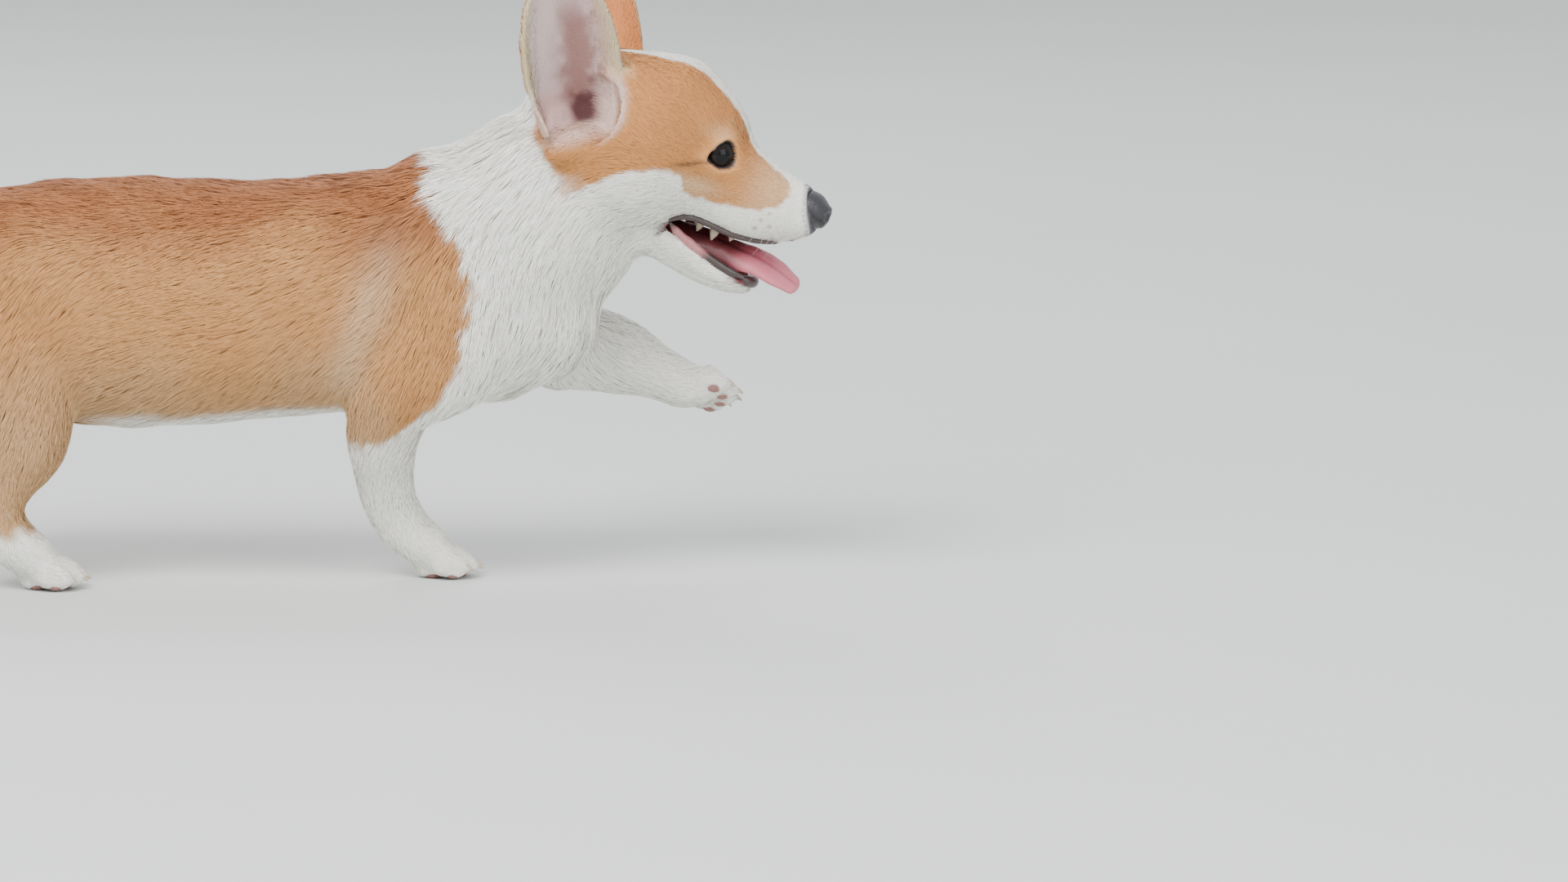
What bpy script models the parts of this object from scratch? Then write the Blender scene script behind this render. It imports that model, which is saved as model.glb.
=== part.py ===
# A Pembroke Welsh corgi puppy at a trot, life size, with its mouth open and its left foreleg raised.
# +X is forward, +Y is the dog's left, +Z is up, and the floor is z = 0. Sizes and places are in
# centimetres and degrees; loft, ball, block and tooth turn them into metres.
import math

import bmesh
import bpy
import numpy as np
from mathutils import Matrix, Vector
from mathutils.bvhtree import BVHTree

CM = 0.01
GAP = 0.0003

# Driving sizes
HEAD_ORIGIN = Vector((17.0, 0.0, 22.5))
HEAD_PIVOT = Vector((13.0, 0.0, 22.5))
HEAD_PITCH = 17
HEAD_YAW = -9
EYE_RADIUS = 0.92
EYE_PLACE = (3.92, 1.95, 1.66)
EYE_TURN = 55
EYE_OPENING = (1.7, 1.42)
LID = 0.16
EAR_HEIGHT = 9.1
EAR_HALF_WIDTH = 2.7
EAR_THICK = 0.3
EAR_BASE = (-2.85, 4.35, 0.9)
EAR_LEAN = (-0.41, 0.13, 0.90)
EAR_FACING = 54
# The two cuts that part the neck, seen from the side: (x, z) above and (x, z) below
NECK_BACK = ((4.0, 22.4), (12.2, 9.6))
NECK_FRONT = ((10.4, 25.65), (16.6, 17.2))
MELT = 0.3
PAW_MELT = 0.18
BODY_SHARE = 0.04
HEAD_SHARE = 0.064
PAW_SHARE = 0.058

SIDES = {"right": -1, "left": 1}

WHITE_COAT = (0.86, 0.84, 0.78)
TAN_COAT = (0.66, 0.42, 0.22)
FACE_COAT = (0.70, 0.42, 0.18)
PINK = (0.75, 0.36, 0.36)
BLACK = (0.02, 0.02, 0.022)


# Scene and mesh helpers
def clear_scene():
    for old in list(bpy.data.objects):
        bpy.data.objects.remove(old, do_unlink=True)


def new_collection(name):
    made = bpy.data.collections.new(name)
    bpy.context.scene.collection.children.link(made)
    return made


def new_object(name, mesh):
    made = bpy.data.objects.new(name, mesh)
    WORK.objects.link(made)
    return made


def mesh_object(name, made, matrix=None):
    """An object from a bmesh, which is used up."""
    mesh = bpy.data.meshes.new(name)
    made.to_mesh(mesh)
    made.free()
    if matrix is not None:
        mesh.transform(matrix)
    return new_object(name, mesh)


def discard(*objects):
    for old in objects:
        bpy.data.objects.remove(old, do_unlink=True)


def bake(source):
    """Replaces the object's mesh with the result of its modifiers."""
    bpy.context.view_layer.update()
    graph = bpy.context.evaluated_depsgraph_get()
    mesh = bpy.data.meshes.new_from_object(source.evaluated_get(graph))
    source.modifiers.clear()
    source.data = mesh
    return source


def copied(source, name):
    return new_object(name, source.data.copy())


def edited(source, work):
    """Runs work on the object's mesh as a bmesh."""
    made = bmesh.new()
    made.from_mesh(source.data)
    work(made)
    made.to_mesh(source.data)
    made.free()
    return source


def largest_shell(source):
    """Keeps only the closed surface that holds the most faces."""

    def work(made):
        unseen = set(made.faces)
        shells = []
        while unseen:
            stack = [unseen.pop()]
            shell = list(stack)
            while stack:
                near = {other for edge in stack.pop().edges for other in edge.link_faces} & unseen
                unseen -= near
                stack += near
                shell += near
            shells.append(shell)
        shells.sort(key=len)
        for shell in shells[:-1]:
            bmesh.ops.delete(made, geom=shell, context="FACES")

    return edited(source, work)


def boolean(target, tool, operation):
    """One cut or join. MANIFOLD, because the EXACT solver is slow on faceted flesh."""
    cut = target.modifiers.new("cut", "BOOLEAN")
    cut.operation = operation
    cut.solver = "MANIFOLD"
    if isinstance(tool, bpy.types.Collection):
        cut.operand_type = "COLLECTION"
        cut.collection = tool
    else:
        cut.object = tool
    return bake(target)


def join_all(target, pieces):
    """Unions many closed pieces with the target at once."""
    group = new_collection("pieces")
    for piece in pieces:
        group.objects.link(piece)
    boolean(target, group, "UNION")
    discard(*pieces)
    bpy.data.collections.remove(group)
    return largest_shell(target)


def carve(target, *cutters):
    for cutter in cutters:
        boolean(target, cutter, "DIFFERENCE")
        discard(cutter)
    return largest_shell(target)


def swollen(source, by):
    """A copy whose surface stands off by the given distance in metres."""
    made = copied(source, "swollen")
    push = made.modifiers.new("push", "DISPLACE")
    push.mid_level = 0.0
    push.strength = by
    return bake(made)


def clear_of(target, other):
    """Cuts the target clear of another body by the gap."""
    return carve(target, swollen(other, GAP))


def plane_cut(source, point, normal):
    """Keeps the side that the normal points to, and closes the cut with a flat face."""

    def work(made):
        cut = bmesh.ops.bisect_plane(
            made,
            geom=made.verts[:] + made.edges[:] + made.faces[:],
            plane_co=point,
            plane_no=normal,
            clear_inner=True,
        )
        rim = [part for part in cut["geom_cut"] if isinstance(part, bmesh.types.BMEdge)]
        bmesh.ops.holes_fill(made, edges=rim, sides=0)
        bmesh.ops.triangulate(made, faces=[face for face in made.faces if len(face.verts) > 4])

    return largest_shell(edited(source, work))


def side_cut(source, line, forward):
    """Parts the body along a line seen from the side, ((x, z) above, (x, z) below)."""
    (x0, z0), (x1, z1) = line
    normal = Vector((z0 - z1, 0, x1 - x0)).normalized()
    facing = normal if forward else -normal
    return plane_cut(source, Vector((x0, 0, z0)) * CM + facing * GAP / 2, facing)


def thinned(source, share):
    made = copied(source, "thinned")
    thin = made.modifiers.new("thin", "DECIMATE")
    thin.ratio = share
    return bake(made)


# Lofted forms
def eased(rows, count):
    """Rows of numbers, interpolated without overshoot over the length along their first three."""
    rows = np.array(rows, float)
    steps = np.linalg.norm(np.diff(rows[:, :3], axis=0), axis=1)
    at = np.concatenate([[0], np.cumsum(steps)])
    slope = np.diff(rows, axis=0) / steps[:, None]
    bend = np.zeros_like(rows)
    both = slope[:-1] * slope[1:]
    mean = 2 * both / np.where(both > 0, slope[:-1] + slope[1:], 1)
    bend[1:-1] = np.where(both > 0, mean, 0)
    bend[0], bend[-1] = slope[0], slope[-1]
    # The path may turn round, so its own slopes are plain averages
    bend[1:-1, :3] = (slope[:-1, :3] + slope[1:, :3]) / 2
    out = []
    for s in np.linspace(0, at[-1], count):
        k = min(np.searchsorted(at, s, side="right") - 1, len(steps) - 1)
        h = steps[k]
        t = (s - at[k]) / h
        out.append(
            (2 * t**3 - 3 * t**2 + 1) * rows[k]
            + (t**3 - 2 * t**2 + t) * h * bend[k]
            + (3 * t**2 - 2 * t**3) * rows[k + 1]
            + (t**3 - t**2) * h * bend[k + 1]
        )
    return np.array(out)


def signed_power(value, power):
    return math.copysign(abs(value) ** power, value)


def section(centre, tangent, row, scale, sides):
    """One superellipse square to the tangent, from radii up, down and side and its squareness."""
    side = np.array([0.0, 1.0, 0.0]) - tangent[1] * tangent
    side /= np.linalg.norm(side)
    up = np.cross(tangent, side)
    up_radius, down_radius, side_radius, square = row[3:7]
    points = []
    for k in range(sides):
        angle = 2 * math.pi * k / sides
        across = side_radius * signed_power(math.cos(angle), 2 / square)
        tall = up_radius if math.sin(angle) > 0 else down_radius
        high = tall * signed_power(math.sin(angle), 2 / square)
        points.append(centre + (side * across + up * high) * scale)
    return points


def loft(name, stations, rings=28, sides=28, domes=(0.6, 0.6), dome_rings=4, matrix=None):
    """A closed form through stations (x, y, z, up, down, side, squareness).

    A dome closes each end, as deep as its share of the mean radius there."""
    rows = eased(stations, rings)
    path = rows[:, :3]
    along = np.gradient(path, axis=0)
    along /= np.linalg.norm(along, axis=1)[:, None]
    first = domes[0] * rows[0, 3:6].mean()
    last = domes[1] * rows[-1, 3:6].mean()
    sections = []
    turns = [math.pi / 2 * k / (dome_rings + 0.5) for k in range(dome_rings, 0, -1)]
    for turn in turns:
        centre = path[0] - along[0] * first * math.sin(turn)
        sections.append(section(centre, along[0], rows[0], math.cos(turn), sides))
    for k in range(rings):
        sections.append(section(path[k], along[k], rows[k], 1.0, sides))
    for turn in reversed(turns):
        centre = path[-1] + along[-1] * last * math.sin(turn)
        sections.append(section(centre, along[-1], rows[-1], math.cos(turn), sides))

    made = bmesh.new()
    loops = [[made.verts.new(Vector(p) * CM) for p in points] for points in sections]
    for near, far in zip(loops, loops[1:]):
        for k in range(sides):
            n = (k + 1) % sides
            made.faces.new((near[k], near[n], far[n], far[k]))
    start = made.verts.new(Vector(path[0] - along[0] * first) * CM)
    end = made.verts.new(Vector(path[-1] + along[-1] * last) * CM)
    for k in range(sides):
        n = (k + 1) % sides
        made.faces.new((start, loops[0][n], loops[0][k]))
        made.faces.new((end, loops[-1][k], loops[-1][n]))
    bmesh.ops.recalc_face_normals(made, faces=made.faces)
    return mesh_object(name, made, matrix)


def ball(name, centre, radii, turn=None, matrix=None, segments=20):
    """An ellipsoid; turn is a rotation about its own centre."""
    made = bmesh.new()
    bmesh.ops.create_uvsphere(made, u_segments=segments, v_segments=segments // 2 + 2, radius=CM)
    made.transform(Matrix.Diagonal((*radii, 1.0)))
    if turn is not None:
        made.transform(turn.to_4x4())
    made.transform(Matrix.Translation(Vector(centre) * CM))
    return mesh_object(name, made, matrix)


def block(name, size, matrix):
    made = bmesh.new()
    bmesh.ops.create_cube(made, size=CM)
    made.transform(Matrix.Diagonal((*size, 1.0)))
    return mesh_object(name, made, matrix)


def fuse(name, pieces, voxel, rounds):
    """Melts overlapping closed forms into one skin, and smooths where they meet."""
    made = bmesh.new()
    for piece in pieces:
        made.from_mesh(piece.data)
    discard(*pieces)
    whole = mesh_object(name, made)
    remesh = whole.modifiers.new("melt", "REMESH")
    remesh.mode = "VOXEL"
    remesh.voxel_size = voxel * CM
    smooth = whole.modifiers.new("smooth", "SMOOTH")
    smooth.factor = 0.5
    smooth.iterations = rounds
    return bake(whole)


# Flesh: stations are x, y, z of the widest level, then up, down, side and squareness
TORSO = [
    (-22.3, 0, 15.6, 3.6, 4.0, 3.6, 2.1),
    (-21.0, 0, 15.3, 4.9, 5.2, 4.7, 2.1),
    (-18.0, 0, 14.9, 5.9, 5.9, 5.3, 2.2),
    (-14.5, 0, 14.5, 6.8, 6.1, 5.4, 2.2),
    (-11.0, 0, 14.0, 7.45, 5.9, 5.6, 2.2),
    (-7.0, 0, 13.8, 7.45, 5.6, 5.85, 2.2),
    (-3.0, 0, 13.9, 7.3, 5.3, 6.0, 2.2),
    (1.0, 0, 14.0, 7.5, 5.1, 5.95, 2.2),
    (4.5, 0, 14.2, 7.7, 5.1, 5.7, 2.2),
    (8.0, 0, 14.4, 7.7, 5.0, 5.3, 2.2),
    (11.0, 0, 14.3, 6.0, 4.6, 4.8, 2.2),
    (12.9, 0, 13.9, 3.6, 3.5, 3.8, 2.1),
]
NECK = [
    (3.5, 0, 14.5, 6.5, 6.0, 5.0, 2.1),
    (7.5, 0, 16.3, 6.9, 6.0, 5.4, 2.1),
    (9.6, -0.05, 17.7, 6.5, 5.7, 5.3, 2.1),
    (11.2, -0.1, 19.1, 5.75, 5.5, 5.1, 2.1),
    (12.8, -0.2, 20.5, 5.3, 5.2, 4.9, 2.1),
    (14.5, -0.3, 21.9, 4.7, 4.9, 4.5, 2.1),
]
# Skull and jaw are in the head's own frame: x along the muzzle, z up from its line
SKULL = [
    (-5.4, 0, 0.1, 3.3, 3.3, 3.4, 2.1),
    (-4.2, 0, 0.1, 4.5, 4.1, 4.5, 2.2),
    (-2.6, 0, 0.1, 5.05, 4.6, 5.1, 2.3),
    (-0.8, 0, 0.0, 5.65, 4.6, 5.15, 2.3),
    (0.9, 0, -0.1, 5.9, 4.1, 4.9, 2.3),
    (2.2, 0, -0.2, 5.35, 3.1, 4.3, 2.3),
    (3.2, 0, -0.3, 4.8, 2.2, 3.6, 2.3),
    (4.0, 0, -0.4, 4.2, 1.95, 3.05, 2.3),
    (4.8, 0, -0.5, 3.35, 1.95, 2.6, 2.4),
    (5.8, 0, -0.55, 2.72, 2.05, 2.3, 2.5),
    (7.0, 0, -0.6, 2.3, 1.9, 2.05, 2.6),
    (8.3, 0, -0.55, 2.0, 1.45, 1.8, 2.6),
    (9.4, 0, -0.4, 1.6, 1.0, 1.4, 2.4),
]
JAW = [
    (-0.5, 0, -3.3, 1.6, 1.3, 2.9, 2.2),
    (1.2, 0, -3.7, 1.2, 1.1, 2.6, 2.3),
    (2.6, 0, -4.15, 1.1, 0.85, 2.3, 2.4),
    (4.2, 0, -4.65, 0.85, 0.7, 1.95, 2.5),
    (6.0, 0, -4.95, 0.7, 0.55, 1.6, 2.5),
    (7.2, 0, -4.85, 0.55, 0.5, 1.25, 2.3),
]
SHOULDERS = {
    "right": [
        (4.6, -3.6, 19.0, 2.4, 2.4, 1.6, 2.1),
        (7.2, -4.1, 15.6, 3.0, 2.9, 1.9, 2.1),
        (7.0, -4.2, 12.6, 2.9, 2.9, 1.9, 2.1),
        (4.2, -4.1, 10.6, 2.4, 2.4, 1.8, 2.1),
    ],
    "left": [
        (6.0, 3.6, 19.0, 2.4, 2.4, 1.6, 2.1),
        (9.0, 4.1, 15.6, 2.9, 2.9, 1.9, 2.1),
        (11.0, 4.1, 12.8, 2.7, 2.7, 1.9, 2.1),
        (13.2, 4.1, 11.5, 2.4, 2.4, 1.9, 2.1),
    ],
}
LEGS = {
    "foreleg_right": [
        (6.4, -4.2, 13.2, 2.6, 2.6, 1.9, 2.1),
        (4.0, -4.1, 10.6, 2.4, 2.3, 1.9, 2.1),
        (3.3, -3.0, 8.2, 1.9, 2.1, 1.7, 2.1),
        (3.2, -1.7, 6.0, 1.55, 1.7, 1.5, 2.1),
        (3.4, -0.9, 4.2, 1.4, 1.5, 1.45, 2.1),
        (4.2, -0.5, 2.6, 1.35, 1.4, 1.45, 2.1),
    ],
    "foreleg_left": [
        (9.8, 4.2, 13.8, 2.7, 2.7, 2.0, 2.1),
        (13.0, 4.2, 11.8, 2.5, 2.2, 1.95, 2.1),
        (15.0, 4.0, 11.3, 2.3, 2.0, 1.8, 2.1),
        (16.6, 3.8, 10.8, 1.85, 1.7, 1.6, 2.1),
        (17.6, 3.6, 10.35, 1.5, 1.4, 1.45, 2.1),
        (18.5, 3.5, 10.0, 1.35, 1.3, 1.4, 2.1),
    ],
    "hindleg_right": [
        (-20.0, -2.8, 16.8, 3.4, 3.4, 2.6, 2.1),
        (-18.2, -3.5, 13.2, 4.4, 4.2, 2.6, 2.1),
        (-15.8, -3.9, 9.8, 3.0, 3.4, 2.3, 2.1),
        (-15.6, -4.1, 7.6, 2.2, 2.6, 1.9, 2.1),
        (-16.7, -4.2, 5.6, 1.55, 1.7, 1.45, 2.1),
        (-17.2, -4.3, 4.0, 1.35, 1.4, 1.3, 2.1),
        (-16.3, -4.35, 2.5, 1.3, 1.35, 1.4, 2.1),
    ],
    "hindleg_left": [
        (-20.4, 2.8, 16.6, 3.4, 3.4, 2.6, 2.1),
        (-19.6, 3.5, 13.0, 4.3, 4.2, 2.6, 2.1),
        (-18.8, 4.0, 9.8, 2.9, 3.4, 2.3, 2.1),
        (-20.2, 4.2, 7.8, 2.2, 2.5, 1.9, 2.1),
        (-22.8, 4.4, 6.2, 1.6, 1.6, 1.45, 2.1),
        (-24.0, 4.5, 4.4, 1.4, 1.35, 1.3, 2.1),
        (-23.6, 4.6, 2.7, 1.3, 1.35, 1.4, 2.1),
    ],
}
TAIL = [
    (-21.5, 0, 18.0, 1.9, 1.9, 2.0, 2.1),
    (-23.8, 0, 18.2, 1.6, 1.7, 1.7, 2.1),
    (-25.8, 0, 17.7, 1.3, 1.4, 1.4, 2.1),
]
# The stations round which each limb is parted from the trunk, in this order, and how much its region
# is fatter than they are fore and aft, and across
LIMBS = {
    "foreleg_right": (LEGS["foreleg_right"][1:], 0.9, 0.9),
    "foreleg_left": (LEGS["foreleg_left"][2:], 0.9, 0.9),
    "hindleg_right": (LEGS["hindleg_right"][3:], 1.2, 0.8),
    "hindleg_left": (LEGS["hindleg_left"][3:], 1.2, 0.8),
    "thigh_right": (LEGS["hindleg_right"][1:4:2], 1.5, 0.6),
    "thigh_left": (LEGS["hindleg_left"][1:4:2], 1.5, 0.6),
    "tail": ([(-23.3, 0, 18.2, 1.6, 1.7, 1.7, 2.1), TAIL[-1]], 0.8, 0.8),
}
# Each paw: the leg it ends, the middle of its toes, and the way its back faces
PAWS = {
    "forepaw_right": ("foreleg_right", (6.5, -0.35, 0.78), (0, 0, 1)),
    "forepaw_left": ("foreleg_left", (20.35, 3.4, 9.55), (0.05, 0.55, 0.83)),
    "hindpaw_right": ("hindleg_right", (-14.1, -4.4, 0.78), (0, 0, 1)),
    "hindpaw_left": ("hindleg_left", (-21.4, 4.65, 0.78), (0, 0, 1)),
}


def head_frame():
    swing = Matrix.Translation(HEAD_PIVOT * CM) @ Matrix.Rotation(math.radians(HEAD_YAW), 4, "Z")
    set_back = Matrix.Translation((HEAD_ORIGIN - HEAD_PIVOT) * CM)
    return swing @ set_back @ Matrix.Rotation(math.radians(HEAD_PITCH), 4, "Y")


def flesh():
    """The whole dog but its paws, ears, nose, tongue and eyes, as one skin."""
    pieces = [
        loft("torso", TORSO, rings=48, sides=40, domes=(0.6, 0.45)),
        loft("neck", NECK, rings=24, sides=36, domes=(0.3, 0.5)),
        loft("skull", SKULL, rings=48, sides=36, domes=(0.5, 0.45), matrix=HEAD),
        loft("jaw", JAW, rings=28, sides=28, domes=(0.5, 0.6), matrix=HEAD),
        loft("tail", TAIL),
    ]
    pieces += [loft("leg", rows) for rows in LEGS.values()]
    pieces += [loft("shoulder", rows) for rows in SHOULDERS.values()]
    return fuse("flesh", pieces, MELT, 10)


def limb_region(name, extra):
    """A plain form round the limb that parts it from the trunk."""
    stations, fatter, wider = LIMBS[name]
    rows = []
    for x, y, z, up, down, side, square in stations:
        rows.append((x, y, z, up + fatter, down + fatter, side + wider, square))
    region = loft("region", rows, rings=8, sides=14, domes=(0.5, 1.2), dome_rings=2)
    if extra:
        grown = swollen(region, extra)
        discard(region)
        return grown
    return region


# Head
# The gape runs right through between the lips, and the mouth is hollow inside them
GAPE = [
    (2.75, 0, -2.5, 0.15, 0.2, 4.2, 2.4),
    (3.5, 0, -2.5, 0.55, 0.6, 4.2, 2.6),
    (4.5, 0, -2.75, 0.68, 0.78, 4.0, 2.8),
    (5.8, 0, -3.1, 0.75, 0.9, 3.6, 2.8),
    (7.4, 0, -3.2, 0.9, 1.05, 3.4, 2.8),
    (9.6, 0, -3.2, 1.0, 1.1, 3.4, 2.8),
]
MOUTH = [
    (1.2, 0, -2.9, 0.4, 0.5, 1.6, 2.6),
    (2.8, 0, -3.0, 0.75, 0.85, 1.75, 2.8),
    (4.4, 0, -3.4, 1.15, 1.2, 1.6, 3.0),
    (6.0, 0, -3.6, 1.35, 1.1, 1.35, 3.0),
    (7.2, 0, -3.5, 1.4, 1.05, 1.05, 2.8),
    (8.4, 0, -2.9, 1.1, 0.9, 0.85, 2.6),
]
JAW_BOX = (9.0, 8.0, 4.0)
JAW_PIVOT = (1.5, 0, -2.4)
JAW_SLOPE = 8
NOSE = [
    (8.6, 0, 0.25, 0.7, 0.9, 0.85, 2.4),
    (9.3, 0, 0.2, 0.9, 1.1, 1.1, 2.5),
    (9.85, 0, 0.05, 0.75, 0.95, 1.0, 2.5),
    (10.15, 0, 0.0, 0.5, 0.7, 0.75, 2.3),
]
TONGUE = [
    (2.4, 0, -3.4, 0.3, 0.45, 0.9, 2.4),
    (4.2, 0, -3.8, 0.3, 0.45, 1.1, 2.6),
    (6.0, 0, -3.75, 0.28, 0.4, 1.05, 2.6),
    (7.3, 0, -3.45, 0.27, 0.33, 1.1, 2.6),
    (8.5, 0, -3.7, 0.25, 0.3, 1.1, 2.6),
    (9.5, 0, -4.1, 0.2, 0.24, 0.8, 2.4),
]
TONGUE_ROLL = 26
# Dental arches from incisors to premolars: x, half width, z of the gum, height and radius
UPPER_TEETH = [
    (8.85, 0.25, -1.55, 0.12, 0.13),
    (8.3, 0.85, -1.75, 0.28, 0.2),
    (7.1, 1.2, -2.0, 0.22, 0.24),
    (6.0, 1.45, -2.1, 0.22, 0.28),
]
LOWER_TEETH = [
    (7.45, 0.25, -4.4, -0.15, 0.13),
    (7.05, 0.8, -4.35, -0.4, 0.18),
    (5.9, 1.15, -4.2, -0.2, 0.2),
    (4.9, 1.35, -4.0, -0.2, 0.24),
]


def eye_frame(side):
    s = SIDES[side]
    x, y, z = EYE_PLACE
    place = Matrix.Translation(Vector((x, s * y, z)) * CM)
    return HEAD @ place @ Matrix.Rotation(math.radians(s * EYE_TURN), 4, "Z")


def eye_ball(side, extra=0.0):
    return ball("eye", (0, 0, 0), (EYE_RADIUS + extra,) * 3, matrix=eye_frame(side), segments=14)


def eye_window(side):
    """The almond opening between the lids, as a pointed prism along the gaze."""
    width, height = EYE_OPENING
    row = (height * 0.52, height * 0.48, width / 2, 1.55)
    matrix = eye_frame(side) @ Matrix.Rotation(math.radians(-8 * SIDES[side]), 4, "X")
    ends = [(0.42, 0, 0, *row), (2.2, 0, 0, *row)]
    return loft("window", ends, rings=2, sides=18, domes=(0.1, 0.1), dome_rings=1, matrix=matrix)


def jaw_region(extra):
    """A box that holds the lower jaw; its top face runs between the lips."""
    pivot = Matrix.Translation(Vector(JAW_PIVOT) * CM)
    slope = Matrix.Rotation(math.radians(JAW_SLOPE), 4, "Y")
    offset = Matrix.Translation(Vector((JAW_BOX[0] / 2, 0, -JAW_BOX[2] / 2)) * CM)
    grown = [length + 2 * extra / CM for length in JAW_BOX]
    return block("jaw_box", grown, HEAD @ pivot @ slope @ offset)


def tooth(root, height, radius):
    """A small cone that hangs down from root by its height, or stands up for a negative one."""
    made = bmesh.new()
    length = abs(height)
    bmesh.ops.create_cone(
        made, cap_ends=True, segments=5, radius1=radius * CM, radius2=radius * 0.25 * CM, depth=length * CM
    )
    made.transform(Matrix.Translation(Vector((0, 0, length / 2 * CM))))
    if height > 0:
        made.transform(Matrix.Rotation(math.pi, 4, "X"))
    made.transform(Matrix.Translation(Vector(root) * CM))
    return mesh_object("tooth", made, HEAD)


def teeth(rows):
    made = []
    for x, half, z, height, radius in rows:
        sunk = 0.25 * math.copysign(1, height)
        for s in SIDES.values():
            made.append(tooth((x, s * half, z + sunk), height + sunk, radius))
    return made


def head_and_jaw(whole):
    """Cuts the head off at the neck plane, carves its mouth and eyes, and parts the lower jaw."""
    head = side_cut(thinned(whole, HEAD_SHARE), NECK_FRONT, forward=True)
    jaw = copied(head, "lower_jaw")
    carve(head, jaw_region(GAP))
    region = jaw_region(0.0)
    boolean(jaw, region, "INTERSECT")
    discard(region)
    for part in (head, jaw):
        gape = loft("gape", GAPE, rings=10, sides=14, domes=(0.1, 0.1), dome_rings=1, matrix=HEAD)
        hollow = loft("hollow", MOUTH, rings=10, sides=14, dome_rings=2, matrix=HEAD)
        carve(part, gape, hollow)
    join_all(head, [eye_ball(side, LID) for side in SIDES])
    for side in SIDES:
        carve(head, eye_ball(side, GAP / CM), eye_window(side), concha(side))
    return head, jaw


def nose(head):
    """The leather, with its nostrils and their side slits; it clears its own seat in the head."""
    made = loft("nose", NOSE, rings=5, sides=14, domes=(0.3, 0.35), dome_rings=2, matrix=HEAD)
    clear_of(head, made)
    for s in SIDES.values():
        hole = ball("hole", (10.3, s * 0.42, 0.05), (0.75, 0.18, 0.24), matrix=HEAD, segments=8)
        slit = ball("slit", (9.95, s * 0.86, -0.28), (0.6, 0.24, 0.13), matrix=HEAD, segments=8)
        carve(made, hole, slit)
    return made


def tongue():
    pivot = Matrix.Translation(Vector((0, 0, -3.7)) * CM)
    roll = Matrix.Rotation(math.radians(TONGUE_ROLL), 4, "X")
    matrix = HEAD @ pivot @ roll @ pivot.inverted()
    return loft("tongue", TONGUE, rings=11, sides=10, domes=(0.5, 0.9), dome_rings=2, matrix=matrix)


def ear_axes(side):
    """The ear's root, and its directions up, out of the cup and across."""
    s = SIDES[side]
    axis = Vector((EAR_LEAN[0], s * EAR_LEAN[1], EAR_LEAN[2])).normalized()
    turn = math.radians(EAR_FACING)
    facing = Vector((math.cos(turn), s * math.sin(turn), 0.0))
    facing = (facing - axis * facing.dot(axis)).normalized()
    base = Vector((EAR_BASE[0], s * EAR_BASE[1], EAR_BASE[2]))
    return base, axis, facing, axis.cross(facing)


def concha(side):
    """The hollow in the side of the head at the root of the ear."""
    base, axis, facing, across = ear_axes(side)
    turn = Matrix((facing, across, axis)).transposed()
    centre = base + axis * 1.7 + facing * 0.25
    return ball("concha", centre, (2.15, 2.15, 2.5), turn=turn, matrix=HEAD, segments=14)


def ear(side):
    """A cupped shell, rolled nearly round at its root and opening toward the tip."""
    base, axis, facing, across = ear_axes(side)
    rows, columns = 11, 11
    made = bmesh.new()
    grid = []
    for i in range(rows):
        t = 0.985 * math.sin(math.pi / 2 * i / (rows - 1)) ** 0.9
        low = math.sin(math.pi / 2 * min(t / 0.4, 1))
        high = max((t - 0.4) / 0.6, 0)
        half = EAR_HALF_WIDTH * (0.72 + 0.28 * low) * (1 - high**2.3) ** 0.6
        arc = math.radians(32 + 68 * (1 - t) ** 2)
        radius = half / math.sin(min(arc, math.pi / 2))
        line = []
        for j in range(columns):
            angle = arc * (2 * j / (columns - 1) - 1)
            depth = radius * (math.cos(angle) - math.cos(arc))
            point = base + axis * (EAR_HEIGHT * t) + across * (radius * math.sin(angle)) - facing * depth
            line.append(made.verts.new(point * CM))
        grid.append(line)
    for lower, upper in zip(grid, grid[1:]):
        for j in range(columns - 1):
            made.faces.new((lower[j], lower[j + 1], upper[j + 1], upper[j]))
    shell = mesh_object("ear", made, HEAD)
    thick = shell.modifiers.new("thick", "SOLIDIFY")
    thick.thickness = EAR_THICK * CM
    thick.offset = 0.0
    bake(shell)
    return edited(shell, lambda made: bmesh.ops.recalc_face_normals(made, faces=made.faces))


# Paws
def claw(root, forward, up):
    """A short bent cone."""
    rows = [
        (*root, 0.2, 0.2, 0.13, 2.0),
        (*(root + forward * 0.35 - up * 0.06), 0.14, 0.15, 0.1, 2.0),
        (*(root + forward * 0.55 - up * 0.28), 0.03, 0.03, 0.03, 2.0),
    ]
    return loft("claw", rows, rings=4, sides=6, domes=(0.1, 0.3), dome_rings=1)


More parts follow.
